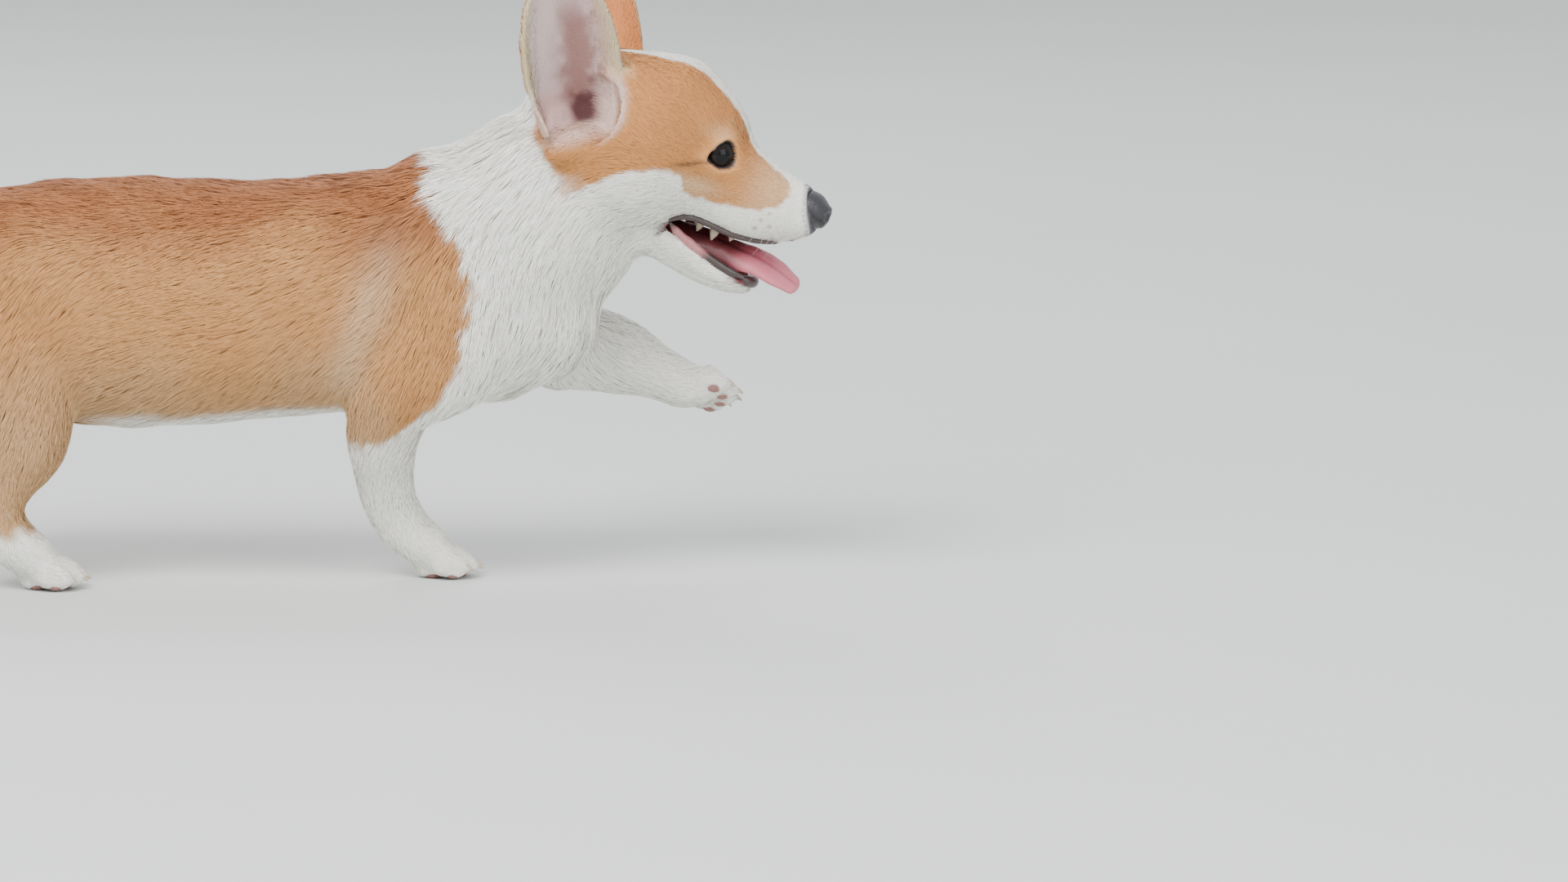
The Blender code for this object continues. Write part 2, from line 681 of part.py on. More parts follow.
def paw(name):
    """Pastern, four arched toes with claws, and a pad; a standing paw ends flat on the floor."""
    leg, middle, back = PAWS[name]
    heel = Vector(LEGS[leg][-1][:3])
    toe = Vector(middle)
    up = Vector(back).normalized()
    out = toe - heel
    forward = (out - up * out.dot(up)).normalized()
    side = up.cross(forward)
    turn = Matrix((forward, side, up)).transposed()
    rows = [
        (*(heel - out * 0.12), 1.35, 1.4, 1.45, 2.1),
        (*(heel + out * 0.45), 1.15, 1.25, 1.5, 2.2),
        (*(toe - forward * 0.2 + up * 0.15), 0.8, 0.8, 1.45, 2.2),
    ]
    pieces = [loft("pastern", rows, rings=12)]
    claws = []
    for across, ahead in ((-1.2, -0.2), (-0.43, 0.3), (0.43, 0.3), (1.2, -0.2)):
        knuckle = toe + side * across + forward * ahead + up * 0.12
        tip = knuckle + forward * 0.55 - up * 0.22
        pieces.append(ball("toe", knuckle, (0.85, 0.5, 0.78), turn=turn))
        pieces.append(ball("toe_tip", tip, (0.7, 0.44, 0.6), turn=turn))
        claws.append(claw(tip + forward * 0.4 + up * 0.05, forward, up))
    heel_pad = toe - forward * 1.15 - up * 0.28
    pieces.append(ball("pad", heel_pad, (0.75, 1.0, 0.55), turn=turn))
    whole = fuse(name, pieces, PAW_MELT, 3)
    foot = thinned(whole, PAW_SHARE)
    discard(whole)
    join_all(foot, claws)
    axis = out.normalized()
    plane_cut(foot, heel * CM + axis * GAP / 2, axis)
    if up.z == 1:
        plane_cut(foot, Vector((0, 0, 0)), up)
    return foot


def parted_limbs(body):
    """Parts the legs and the tail from the trunk."""
    limbs = {}
    for name in LIMBS:
        limbs[name] = copied(body, name)
        region = limb_region(name, 0.0)
        boolean(limbs[name], region, "INTERSECT")
        discard(region)
        largest_shell(limbs[name])
        carve(body, limb_region(name, GAP))
    for leg, middle, _ in PAWS.values():
        heel = Vector(LEGS[leg][-1][:3])
        axis = (Vector(middle) - heel).normalized()
        plane_cut(limbs[leg], heel * CM - axis * GAP / 2, -axis)
    return limbs


# Locks of longer coat, in rows along a line through the body; angles are turned from the front
# direction, and the lie is the way that the locks run
RUFF = {
    "seed": 3,
    "line": ((12.7, 0, 20.7), (9.0, 0, 16.6)),
    "front": (0.56, 0, -0.83),
    "rows": 5,
    "angles": (-180, 180),
    "count": 8,
    "lie": (-0.5, 0, -0.87),
    "length": (2.6, 3.3),
    "width": 2.8,
}
BREECHES = {
    "seed": 5,
    "front": (1, 0, 0),
    "rows": 3,
    "angles": (110, 230),
    "count": 3,
    "lie": (-0.3, 0, -0.95),
    "length": (1.8, 2.3),
    "width": 1.9,
}
BRUSH = {
    "seed": 7,
    "line": ((-23.9, 0, 18.1), (-25.6, 0, 17.8)),
    "front": (0, 0, 1),
    "rows": 2,
    "angles": (-150, 210),
    "count": 5,
    "lie": (-1, 0, -0.12),
    "length": (1.8, 2.2),
    "width": 1.6,
}
LOCK_SUNK = 0.3
LOCK_PROUD = 0.3
LOCK_CLEAR = 0.12


def lock(place, along, normal, length, width):
    """A flat tapered lock that rises out of the coat and curls back along it."""
    rows = []
    for t in (0.0, 0.55, 0.95):
        high = -LOCK_SUNK + (LOCK_SUNK + LOCK_PROUD) * math.sin(math.radians(105) * t)
        thick = 0.17 * (1 - 0.6 * t)
        half = width / 2 * (0.9 + 0.4 * t - 1.1 * t**2)
        rows.append((length * t, 0, high, thick, thick, half, 2.0))
    side = normal.cross(along)
    frame = Matrix((along, side, normal)).transposed().to_4x4()
    matrix = Matrix.Translation(place * CM) @ frame
    return loft("lock", rows, rings=3, sides=4, domes=(0.1, 1.5), dome_rings=0, matrix=matrix)


def locks(body, spread, line, side):
    """Locks set evenly over a body by rays cast inward round the line."""
    tree = BVHTree.FromPolygons(
        [vertex.co / CM for vertex in body.data.vertices], [face.vertices for face in body.data.polygons]
    )
    draw = np.random.default_rng(spread["seed"])
    start, end = [Vector(point) for point in line]
    front = Vector(spread["front"])
    across = Vector((0, side, 0))
    low, high = spread["angles"]
    made = []
    for row in range(spread["rows"]):
        for k in range(spread["count"]):
            share = (row + 0.25 * draw.uniform(-1, 1)) / (spread["rows"] - 1)
            turn = (k + 0.5 * (row % 2) + 0.25 + 0.2 * draw.uniform(-1, 1)) / spread["count"]
            angle = math.radians(low + (high - low) * turn)
            out = front * math.cos(angle) + across * math.sin(angle)
            place, normal, _, _ = tree.ray_cast(start.lerp(end, share) + out * 12, -out)
            lie = Vector(spread["lie"]) + across * 0.12 * draw.uniform(-1, 1)
            length = draw.uniform(*spread["length"])
            if place is not None:
                along = (lie - normal * lie.dot(normal)).normalized()
                made.append(lock(place, along, normal, length, spread["width"]))
    return made


def dress(body, spread, line, neighbours, side=1):
    """Grows locks on a body, cut clear of its neighbours."""
    grown = locks(body, spread, line, side)
    whole = grown.pop()
    group = new_collection("locks")
    for piece in grown:
        group.objects.link(piece)
    boolean(whole, group, "UNION")
    discard(*grown)
    bpy.data.collections.remove(group)
    for other in neighbours:
        cutter = swollen(other, LOCK_CLEAR * CM)
        boolean(whole, cutter, "DIFFERENCE")
        discard(cutter)
    return join_all(body, [whole])


def finish(source, name, colour, roughness=0.9):
    """Puts a finished body in the model with its own material."""
    source.name = name
    source.data.name = name
    WORK.objects.unlink(source)
    MODEL.objects.link(source)
    source.data.shade_smooth()
    source.data.set_sharp_from_angle(angle=math.radians(50))
    material = bpy.data.materials.new(name)
    material.use_nodes = True
    shader = material.node_tree.nodes["Principled BSDF"]
    shader.inputs["Base Color"].default_value = (*colour, 1.0)
    shader.inputs["Roughness"].default_value = roughness
    source.data.materials.clear()
    source.data.materials.append(material)


def build():
    whole = flesh()
    head, jaw = head_and_jaw(whole)
    for side in SIDES:
        finish(clear_of(ear(side), head), f"ear_{side}", FACE_COAT)
        finish(eye_ball(side), f"eye_{side}", BLACK, 0.1)
    finish(nose(head), "nose", BLACK, 0.4)
    join_all(head, teeth(UPPER_TEETH))
    join_all(jaw, teeth(LOWER_TEETH))
    lick = clear_of(clear_of(tongue(), head), jaw)
    finish(lick, "tongue", PINK, 0.4)
    finish(head, "head", FACE_COAT)
    finish(jaw, "lower_jaw", WHITE_COAT)

    body = side_cut(thinned(whole, BODY_SHARE), NECK_FRONT, forward=False)
    discard(whole)
    limbs = parted_limbs(body)
    neck = side_cut(copied(body, "neck"), NECK_BACK, forward=True)
    trunk = side_cut(body, NECK_BACK, forward=False)
    dress(neck, RUFF, RUFF["line"], (head, jaw, trunk, limbs["foreleg_left"]))
    finish(neck, "neck", WHITE_COAT)
    for name, side in SIDES.items():
        line = [row[:3] for row in LEGS[f"hindleg_{name}"][1:3]]
        dress(limbs[f"thigh_{name}"], BREECHES, line, (trunk, limbs[f"hindleg_{name}"]), side)
    dress(limbs["tail"], BRUSH, BRUSH["line"], (trunk,))
    finish(trunk, "torso", TAN_COAT)
    for name, limb in limbs.items():
        finish(limb, name, WHITE_COAT if name.startswith("fore") else TAN_COAT)
    for name in PAWS:
        finish(paw(name), name, WHITE_COAT)


def set_on_origin():
    """Puts the origin on the floor under the middle of the model's box."""
    corners = [vertex.co for part in MODEL.objects for vertex in part.data.vertices]
    low = Vector([min(corner[k] for corner in corners) for k in range(3)])
    high = Vector([max(corner[k] for corner in corners) for k in range(3)])
    shift = -Vector(((low.x + high.x) / 2, (low.y + high.y) / 2, low.z))
    for part in MODEL.objects:
        part.data.transform(Matrix.Translation(shift))
    return shift


HEAD = head_frame()
clear_scene()
MODEL = new_collection("corgi")
WORK = new_collection("workshop")
build()
SHIFT = set_on_origin()
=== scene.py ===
import math

import bmesh
import bpy
import numpy as np
from mathutils import Matrix, Vector
from mathutils.bvhtree import BVHTree
from mathutils.kdtree import KDTree


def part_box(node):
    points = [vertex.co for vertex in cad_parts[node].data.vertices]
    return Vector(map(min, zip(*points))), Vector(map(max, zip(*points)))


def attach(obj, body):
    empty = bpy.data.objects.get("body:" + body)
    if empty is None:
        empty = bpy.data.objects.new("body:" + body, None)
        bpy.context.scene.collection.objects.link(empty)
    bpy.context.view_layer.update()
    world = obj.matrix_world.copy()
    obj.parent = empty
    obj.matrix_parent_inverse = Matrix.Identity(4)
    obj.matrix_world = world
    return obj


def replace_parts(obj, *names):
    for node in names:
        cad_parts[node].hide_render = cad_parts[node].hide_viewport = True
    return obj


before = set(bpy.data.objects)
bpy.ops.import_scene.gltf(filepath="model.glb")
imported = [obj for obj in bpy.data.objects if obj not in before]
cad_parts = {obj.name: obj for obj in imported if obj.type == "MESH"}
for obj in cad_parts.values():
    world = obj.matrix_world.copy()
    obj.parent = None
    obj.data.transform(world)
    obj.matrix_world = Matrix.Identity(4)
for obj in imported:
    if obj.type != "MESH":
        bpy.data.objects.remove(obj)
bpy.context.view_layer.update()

cm = 0.01
sides = {"right": -1, "left": 1}

# The dog's frame is the model's own before it was set on its origin. The head has a frame too, with
# x along the muzzle and z up. Tables of both are in centimetres.
headSet = {
    "origin": (17.0, 0, 22.5),
    "pivot": (13.0, 0, 22.5),
    "pitch": 17,
    "yaw": -9,
    "eye": (3.92, 1.95, 1.66),
    "eyeTurn": 55,
    "eyeRadius": 0.92,
}


def onSide(row, s):  # a row given for the left side, on the side that s says
    x, y, *rest = row
    return (x, s * y, *rest)


def shift(place):
    return Matrix.Translation(Vector(place) * cm)


def rotation(degrees, axis):
    return Matrix.Rotation(math.radians(degrees), 4, axis)


def headInDog():
    origin, pivot = (Vector(headSet[key]) * cm for key in ("origin", "pivot"))
    swing = Matrix.Translation(pivot) @ rotation(headSet["yaw"], "Z")
    return swing @ Matrix.Translation(origin - pivot) @ rotation(headSet["pitch"], "Y")


def eyeInHead(side):
    s = sides[side]
    return shift(onSide(headSet["eye"], s)) @ rotation(s * headSet["eyeTurn"], "Z")


low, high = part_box("eye_right")
dogFrame = Matrix.Translation((low + high) / 2 - (headInDog() @ eyeInHead("right")).translation)
headFrame = dogFrame @ headInDog()


def eyeFrame(side):
    return headFrame @ eyeInHead(side)


def into(points, matrix):  # row frame to a frame's own centimetres
    back = np.array(matrix.inverted())
    return (points @ back[:3, :3].T + back[:3, 3]) / cm


def outOf(points, matrix):  # a frame's own centimetres to the row frame
    ahead = np.array(matrix)
    return np.asarray(points, float) * cm @ ahead[:3, :3].T + ahead[:3, 3]


def turned(directions, matrix):
    return directions @ np.array(matrix)[:3, :3].T


def unit(vectors):
    return vectors / np.maximum(np.linalg.norm(vectors, axis=-1, keepdims=True), 1e-9)


def step(value, start, end):  # 0 before start, 1 after end, smooth between
    t = np.clip((value - start) / (end - start), 0, 1)
    return t * t * (3 - 2 * t)


def fade(value, start, end):  # 1 before start, 0 after end
    return 1 - step(value, start, end)


def between(value, start, end):  # 1 between two soft edges
    return step(value, *start) * fade(value, *end)


def hump(*terms):  # 1 in the middle of every term: a value, its middle and its width
    return np.exp(-sum(((value - middle) / width) ** 2 for value, middle, width in terms))


def tableAt(table, key, x):
    return np.interp(x, table["x"], table[key])


wanderSet = {"waves": 7, "spread": (0.7, 1.5), "span": 2.2, "full": 3.2}


def wander(points, size, seed):  # smooth noise from -1 to 1 whose blotches are about this size
    draw = np.random.default_rng(seed)
    total = np.zeros(len(points))
    for _ in range(wanderSet["waves"]):
        way = unit(draw.normal(size=3)) * draw.uniform(*wanderSet["spread"]) * 2 * math.pi
        way /= wanderSet["span"] * size
        total += np.sin(points @ way + draw.uniform(0, 2 * math.pi))
    return np.clip(total / wanderSet["full"], -1, 1)


def wanders(points, rows):  # rows of height, size and seed
    return sum(height * wander(points, size, seed) for height, size, seed in rows)


def tint(*screen):  # a screen colour as Blender's linear one
    return tuple(((c / 255 + 0.055) / 1.055) ** 2.4 if c > 10 else c / 255 / 12.92 for c in screen)


# Materials
class Wire:  # a node's output; expressions on it add Math nodes
    def __init__(self, paint, socket):
        self.paint = paint
        self.socket = socket

    def math(self, kind, first, second):
        return self.paint.wire(self.paint.add("ShaderNodeMath", {"operation": kind}, {0: first, 1: second}))

    def __add__(self, other):
        return self.math("ADD", self, other)

    def __radd__(self, other):
        return self.math("ADD", other, self)

    def __sub__(self, other):
        return self.math("SUBTRACT", self, other)

    def __rsub__(self, other):
        return self.math("SUBTRACT", other, self)

    def __mul__(self, other):
        return self.math("MULTIPLY", self, other)

    def __rmul__(self, other):
        return self.math("MULTIPLY", other, self)


class Paint:  # one material and its nodes
    def __init__(self, name, **fixed):
        self.material = bpy.data.materials.new(name)
        self.material.use_nodes = True
        self.tree = self.material.node_tree
        self.shader = self.tree.nodes["Principled BSDF"]
        for socket, value in fixed.items():
            self.shader.inputs[socket.replace("_", " ")].default_value = value

    def add(self, kind, settings=None, sockets=None):
        node = self.tree.nodes.new(kind)
        for key, value in (settings or {}).items():
            if key == "stops":
                ramp = node.color_ramp.elements
                while len(ramp) < len(value):
                    ramp.new(0.5)
                for stop, (place, shade) in zip(ramp, value):
                    stop.position = place
                    stop.color = (*shade, 1)
            else:
                setattr(node, key, value)
        for key, value in (sockets or {}).items():
            self.feed(node.inputs[key], value)
        return node

    def feed(self, socket, value):
        if isinstance(value, Wire):
            self.tree.links.new(value.socket, socket)
        elif socket.type == "RGBA":
            socket.default_value = (*value, 1)
        else:
            socket.default_value = value

    def wire(self, node, output=0):
        return Wire(self, node.outputs[output])

    def attribute(self, name, output="Fac"):
        return self.wire(self.add("ShaderNodeAttribute", {"attribute_name": name}), output)

    def place(self):
        return self.wire(self.add("ShaderNodeTexCoord"), "Object")

    def stretched(self, place, scale):
        return self.wire(self.add("ShaderNodeVectorMath", {"operation": "MULTIPLY"}, {0: place, 1: scale}))

    def noise(self, scale, detail=3, place=None):
        sockets = {"Vector": place or self.place(), "Scale": scale, "Detail": detail, "Roughness": 0.55}
        return self.wire(self.add("ShaderNodeTexNoise", None, sockets), "Fac")

    def cells(self, scale):
        sockets = {"Vector": self.place(), "Scale": scale}
        return self.wire(self.add("ShaderNodeTexVoronoi", None, sockets), "Distance")

    def ramp(self, value, stops):
        return self.wire(self.add("ShaderNodeValToRGB", {"stops": stops}, {"Fac": value}), "Color")

    def mix(self, share, first, second):  # sockets 6 and 7 of a Mix node are its colours
        node = self.add("ShaderNodeMix", {"data_type": "RGBA"}, {0: share, 6: first, 7: second})
        return self.wire(node, 2)

    def mottled(self, scale, first, second):  # two colours in soft blotches
        return self.mix(self.noise(scale), first, second)

    def shaded(self, colour, value):  # a colour times a number
        node = self.add("ShaderNodeVectorMath", {"operation": "SCALE"}, {0: colour, "Scale": value})
        return self.wire(node)

    def finish(self, **sockets):
        for key, value in sockets.items():
            self.feed(self.shader.inputs[key.replace("_", " ")], value)
        return self.material

    def bump(self, height, distance, strength):
        sockets = {"Height": height, "Distance": distance, "Strength": strength}
        self.feed(self.shader.inputs["Normal"], self.wire(self.add("ShaderNodeBump", None, sockets)))


# Mesh tools
def arrayMesh(name, points, faces):  # faces: one row of corners each
    mesh = bpy.data.meshes.new(name)
    count, corners = faces.shape
    mesh.vertices.add(len(points))
    mesh.vertices.foreach_set("co", np.asarray(points, np.float32).ravel())
    mesh.loops.add(count * corners)
    mesh.loops.foreach_set("vertex_index", faces.astype(np.int32).ravel())
    mesh.polygons.add(count)
    mesh.polygons.foreach_set("loop_start", np.arange(0, count * corners, corners, dtype=np.int32))
    mesh.update(calc_edges=True)
    mesh.shade_smooth()
    return mesh


def read(items, key, width):
    values = np.zeros(len(items) * width, np.int32 if key == "vertices" else np.float32)
    items.foreach_get(key, values)
    return values.reshape(-1, width) if width > 1 else values


def pointsOf(mesh):
    return read(mesh.vertices, "co", 3).astype(float)


def normalsOf(mesh):
    return read(mesh.vertex_normals, "vector", 3).astype(float)


def trianglesOf(mesh):
    mesh.calc_loop_triangles()
    return read(mesh.loop_triangles, "vertices", 3)


def treeOf(mesh):
    return BVHTree.FromPolygons(pointsOf(mesh).tolist(), trianglesOf(mesh).tolist())


def placed(mesh, points):
    mesh.vertices.foreach_set("co", points.astype(np.float32).ravel())
    mesh.update()


def setAttribute(mesh, name, values):
    colour = values.ndim == 2
    attribute = mesh.attributes.new(name, "FLOAT_COLOR" if colour else "FLOAT", "POINT")
    if colour:
        rows = np.ones((len(values), 4), np.float32)
        rows[:, :3] = values
        attribute.data.foreach_set("color", rows.ravel())
    else:
        attribute.data.foreach_set("value", values.astype(np.float32))


def shown(name, mesh):
    thing = bpy.data.objects.new(name, mesh)
    bpy.context.scene.collection.objects.link(thing)
    return thing


def evaluated(thing):  # the object's mesh after its modifiers; the object goes
    bpy.context.view_layer.update()
    mesh = bpy.data.meshes.new_from_object(thing.evaluated_get(bpy.context.evaluated_depsgraph_get()))
    bpy.data.objects.remove(thing, do_unlink=True)
    return mesh


def piece(name, mesh, material):
    thing = shown(name, mesh)
    mesh.materials.clear()
    mesh.materials.append(material)
    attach(thing, "root")
    return thing


def meshOf(made, name):
    mesh = bpy.data.meshes.new(name)
    made.to_mesh(mesh)
    made.free()
    mesh.shade_smooth()
    return mesh


def sealed(mesh, weld=0):  # near points welded, ends filled and faces turned outward
    made = bmesh.new()
    made.from_mesh(mesh)
    if weld:
        bmesh.ops.remove_doubles(made, verts=made.verts, dist=weld)
    bmesh.ops.holes_fill(made, edges=made.edges)
    bmesh.ops.recalc_face_normals(made, faces=made.faces)
    made.to_mesh(mesh)
    made.free()
    mesh.shade_smooth()
    return mesh


# The skin
skinSet = {
    "voxel": 0.0011,
    "overlap": 0.0003,
    "apart": ("tongue", "nose", "eye_right", "eye_left"),
    "kept": ("head", "lower_jaw", "ear", "forepaw", "hindpaw"),  # the rest is the body's own forms, smooth
    "domes": (0.55, 0.45),
    "lid": 0.07,
    "rounds": {"body": 70, "head": 5, "face": 22, "paws": 6, "last": 3},  # of smoothing
    "paws": {"low": 3.0, "raised": (18.2, 13)},
    "floor": 0.0002,
    "faces": 190000,
}
# The body's forms: x, y, z of the widest level, then up, down, side and squareness
bodyRows = {
    "torso": [
        (-22.3, 0, 15.6, 3.6, 4.0, 3.6, 2.1),
        (-21.0, 0, 15.3, 4.9, 5.2, 4.7, 2.1),
        (-18.0, 0, 14.9, 5.9, 5.9, 5.3, 2.2),
        (-14.5, 0, 14.5, 6.8, 6.1, 5.4, 2.2),
        (-11.0, 0, 14.0, 7.45, 5.9, 5.6, 2.2),
        (-7.0, 0, 13.8, 7.45, 5.6, 5.85, 2.2),
        (-3.0, 0, 13.9, 7.3, 5.3, 6.0, 2.2),
        (1.0, 0, 14.0, 7.5, 5.1, 5.95, 2.2),
        (4.5, 0, 14.2, 7.7, 5.1, 5.7, 2.2),
        (8.0, 0, 14.4, 7.7, 5.0, 5.3, 2.2),
        (11.0, 0, 14.3, 6.0, 4.6, 4.8, 2.2),
        (12.9, 0, 13.9, 3.6, 3.5, 3.8, 2.1),
    ],
    "neck": [
        (3.5, 0, 14.5, 6.5, 6.0, 5.0, 2.1),
        (7.5, 0, 16.3, 6.9, 6.0, 5.4, 2.1),
        (9.6, -0.05, 17.7, 6.5, 5.7, 5.3, 2.1),
        (11.2, -0.1, 19.1, 5.75, 5.5, 5.1, 2.1),
        (12.8, -0.2, 20.5, 5.3, 5.2, 4.9, 2.1),
        (14.5, -0.3, 21.9, 4.7, 4.9, 4.5, 2.1),
    ],
    "right shoulder": [
        (4.6, -3.6, 19.0, 2.4, 2.4, 1.6, 2.1),
        (7.2, -4.1, 15.6, 3.0, 2.9, 1.9, 2.1),
        (7.0, -4.2, 12.6, 2.9, 2.9, 1.9, 2.1),
        (4.2, -4.1, 10.6, 2.4, 2.4, 1.8, 2.1),
    ],
    "left shoulder": [
        (6.0, 3.6, 19.0, 2.4, 2.4, 1.6, 2.1),
        (9.0, 4.1, 15.6, 2.9, 2.9, 1.9, 2.1),
        (11.0, 4.1, 12.8, 2.7, 2.7, 1.9, 2.1),
        (13.2, 4.1, 11.5, 2.4, 2.4, 1.9, 2.1),
    ],
    "right foreleg": [
        (6.4, -4.2, 13.2, 2.6, 2.6, 1.9, 2.1),
        (4.0, -4.1, 10.6, 2.4, 2.3, 1.9, 2.1),
        (3.3, -3.0, 8.2, 1.9, 2.1, 1.7, 2.1),
        (3.2, -1.7, 6.0, 1.55, 1.7, 1.5, 2.1),
        (3.4, -0.9, 4.2, 1.4, 1.5, 1.45, 2.1),
        (4.2, -0.5, 2.6, 1.35, 1.4, 1.45, 2.1),
    ],
    "left foreleg": [
        (9.8, 4.2, 13.8, 2.7, 2.7, 2.0, 2.1),
        (13.0, 4.2, 11.8, 2.5, 2.2, 1.95, 2.1),
        (15.0, 4.0, 11.3, 2.3, 2.0, 1.8, 2.1),
        (16.6, 3.8, 10.8, 1.85, 1.7, 1.6, 2.1),
        (17.6, 3.6, 10.35, 1.5, 1.4, 1.45, 2.1),
        (18.5, 3.5, 10.0, 1.35, 1.3, 1.4, 2.1),
    ],
    "right hindleg": [
        (-20.0, -2.8, 16.8, 3.4, 3.4, 2.6, 2.1),
        (-18.2, -3.5, 13.2, 4.4, 4.2, 2.6, 2.1),
        (-15.8, -3.9, 9.8, 3.0, 3.4, 2.3, 2.1),
        (-15.6, -4.1, 7.6, 2.2, 2.6, 1.9, 2.1),
        (-16.7, -4.2, 5.6, 1.55, 1.7, 1.45, 2.1),
        (-17.2, -4.3, 4.0, 1.35, 1.4, 1.3, 2.1),
        (-16.3, -4.35, 2.5, 1.3, 1.35, 1.4, 2.1),
    ],
    "left hindleg": [
        (-20.4, 2.8, 16.6, 3.4, 3.4, 2.6, 2.1),
        (-19.6, 3.5, 13.0, 4.3, 4.2, 2.6, 2.1),
        (-18.8, 4.0, 9.8, 2.9, 3.4, 2.3, 2.1),
        (-20.2, 4.2, 7.8, 2.2, 2.5, 1.9, 2.1),
        (-22.8, 4.4, 6.2, 1.6, 1.6, 1.45, 2.1),
        (-24.0, 4.5, 4.4, 1.4, 1.35, 1.3, 2.1),
        (-23.6, 4.6, 2.7, 1.3, 1.35, 1.4, 2.1),
    ],
    "tail": [
        (-21.5, 0, 18.0, 1.9, 1.9, 2.0, 2.1),
        (-23.8, 0, 18.2, 1.6, 1.7, 1.7, 2.1),
        (-25.8, 0, 17.7, 1.3, 1.4, 1.4, 2.1),
    ],
}


def ballMesh(radius, matrix):
    made = bmesh.new()
    bmesh.ops.create_icosphere(made, subdivisions=5, radius=radius)
    made.transform(matrix)
    return meshOf(made, "ball")


jawWall = [  # each side's wall of the lower jaw, up to the edge of the fur
    (2.5, 2.4, -3.35, 0.42, 0.55, 0.24, 2.4),
    (3.6, 2.05, -3.8, 0.46, 0.55, 0.24, 2.4),
    (4.4, 1.82, -4.1, 0.44, 0.5, 0.24, 2.4),
    (5.6, 1.5, -4.5, 0.4, 0.4, 0.24, 2.4),
    (6.3, 1.28, -4.7, 0.36, 0.35, 0.24, 2.4),
    (7.1, 0.85, -4.85, 0.3, 0.3, 0.24, 2.4),
]


def fleshMesh():  # every form of flesh, a little swollen so that the cuts between them close
    meshes = [node.data for name, node in sorted(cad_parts.items()) if name.startswith(skinSet["kept"])]
    meshes += [swept(rows, 40, 40, dogFrame, domes=skinSet["domes"]) for rows in bodyRows.values()]
    lid = (headSet["eyeRadius"] + skinSet["lid"]) * cm - skinSet["overlap"]
    meshes += [ballMesh(lid, eyeFrame(side)) for side in sides]
    for side, s in sides.items():
        meshes.append(swept([onSide(row, s) for row in jawWall], 40, 24, headFrame))
        # The floor of the ear's hollow
        base, up, out, forward = earAxes(side)
        turn = Matrix((Vector(forward), Vector(out), Vector(up))).transposed().to_4x4()
        place = shift(base - up * earSet["floorDown"] - out * earSet["floorIn"])
        meshes.append(ballMesh(cm, headFrame @ place @ turn @ Matrix.Diagonal((*earSet["floorRadii"], 1))))
    points, faces = [], []
    for mesh in meshes:
        count = len(points)
        made = bmesh.new()
        made.from_mesh(mesh)
        bmesh.ops.remove_doubles(made, verts=made.verts, dist=1e-6)
        made.normal_update()
        points += [v.co + v.normal * skinSet["overlap"] for v in made.verts]
        bmesh.ops.triangulate(made, faces=made.faces)
        faces += [[v.index + count for v in face.verts] for face in made.faces]
        made.free()
    return arrayMesh("flesh", np.array(points), np.array(faces))


def melted(mesh, voxel):
    thing = shown("melt", mesh)
    remesh = thing.modifiers.new("remesh", "REMESH")
    remesh.mode = "VOXEL"
    remesh.voxel_size = voxel
    return evaluated(thing)


def neighboursOf(mesh):  # six neighbours for each vertex, itself where it has fewer
    pairs = read(mesh.edges, "vertices", 2)
    both = np.concatenate([pairs, pairs[:, ::-1]])
    both = both[np.argsort(both[:, 0], kind="stable")]
    first = np.searchsorted(both[:, 0], both[:, 0])
    rank = np.arange(len(both)) - first
    table = np.repeat(np.arange(len(mesh.vertices))[:, None], 6, axis=1)
    keep = rank < 6
    table[both[keep, 0], rank[keep]] = both[keep, 1]
    return table


def relaxed(points, near, rounds):  # rounds may differ from vertex to vertex
    rounds = np.broadcast_to(rounds, len(points))
    for k in range(int(rounds.max())):
        at = np.nonzero(rounds > k)[0]
        points[at] += 0.5 * (points[near[at]].mean(axis=1) - points[at])
    return points


# Where the parts lie
earSet = {
    "height": 9.1,
    "half": 2.7,
    "base": (-2.85, 4.35, 0.9),
    "lean": (-0.41, 0.13, 0.90),
    "facing": 54,
    "hollowUp": 1.7,
    "hollowOut": 0.25,
    "hollowRadii": (2.15, 2.15, 2.5),
    "floorDown": 0.95,
    "floorIn": 0.75,
    "floorRadii": (2.1, 1.6, 1.3),
}


def earAxes(side):  # root, and the ways up, out of the cup and forward across it, in the head's frame
    s = sides[side]
    up = unit(np.array((earSet["lean"][0], s * earSet["lean"][1], earSet["lean"][2])))
    turn = math.radians(earSet["facing"])
    out = np.array((math.cos(turn), s * math.sin(turn), 0.0))
    out = unit(out - up * out.dot(up))
    base = np.array((earSet["base"][0], s * earSet["base"][1], earSet["base"][2]))
    return base, up, out, -s * np.cross(up, out)


def earHalf(t):  # half the width of the ear at a share of its height
    t = np.clip(t, 0, 0.985)
    lower = np.sin(math.pi / 2 * np.minimum(t / 0.4, 1))
    upper = np.maximum((t - 0.4) / 0.6, 0)
    return earSet["half"] * (0.72 + 0.28 * lower) * np.maximum(1 - upper**2.3, 0) ** 0.6


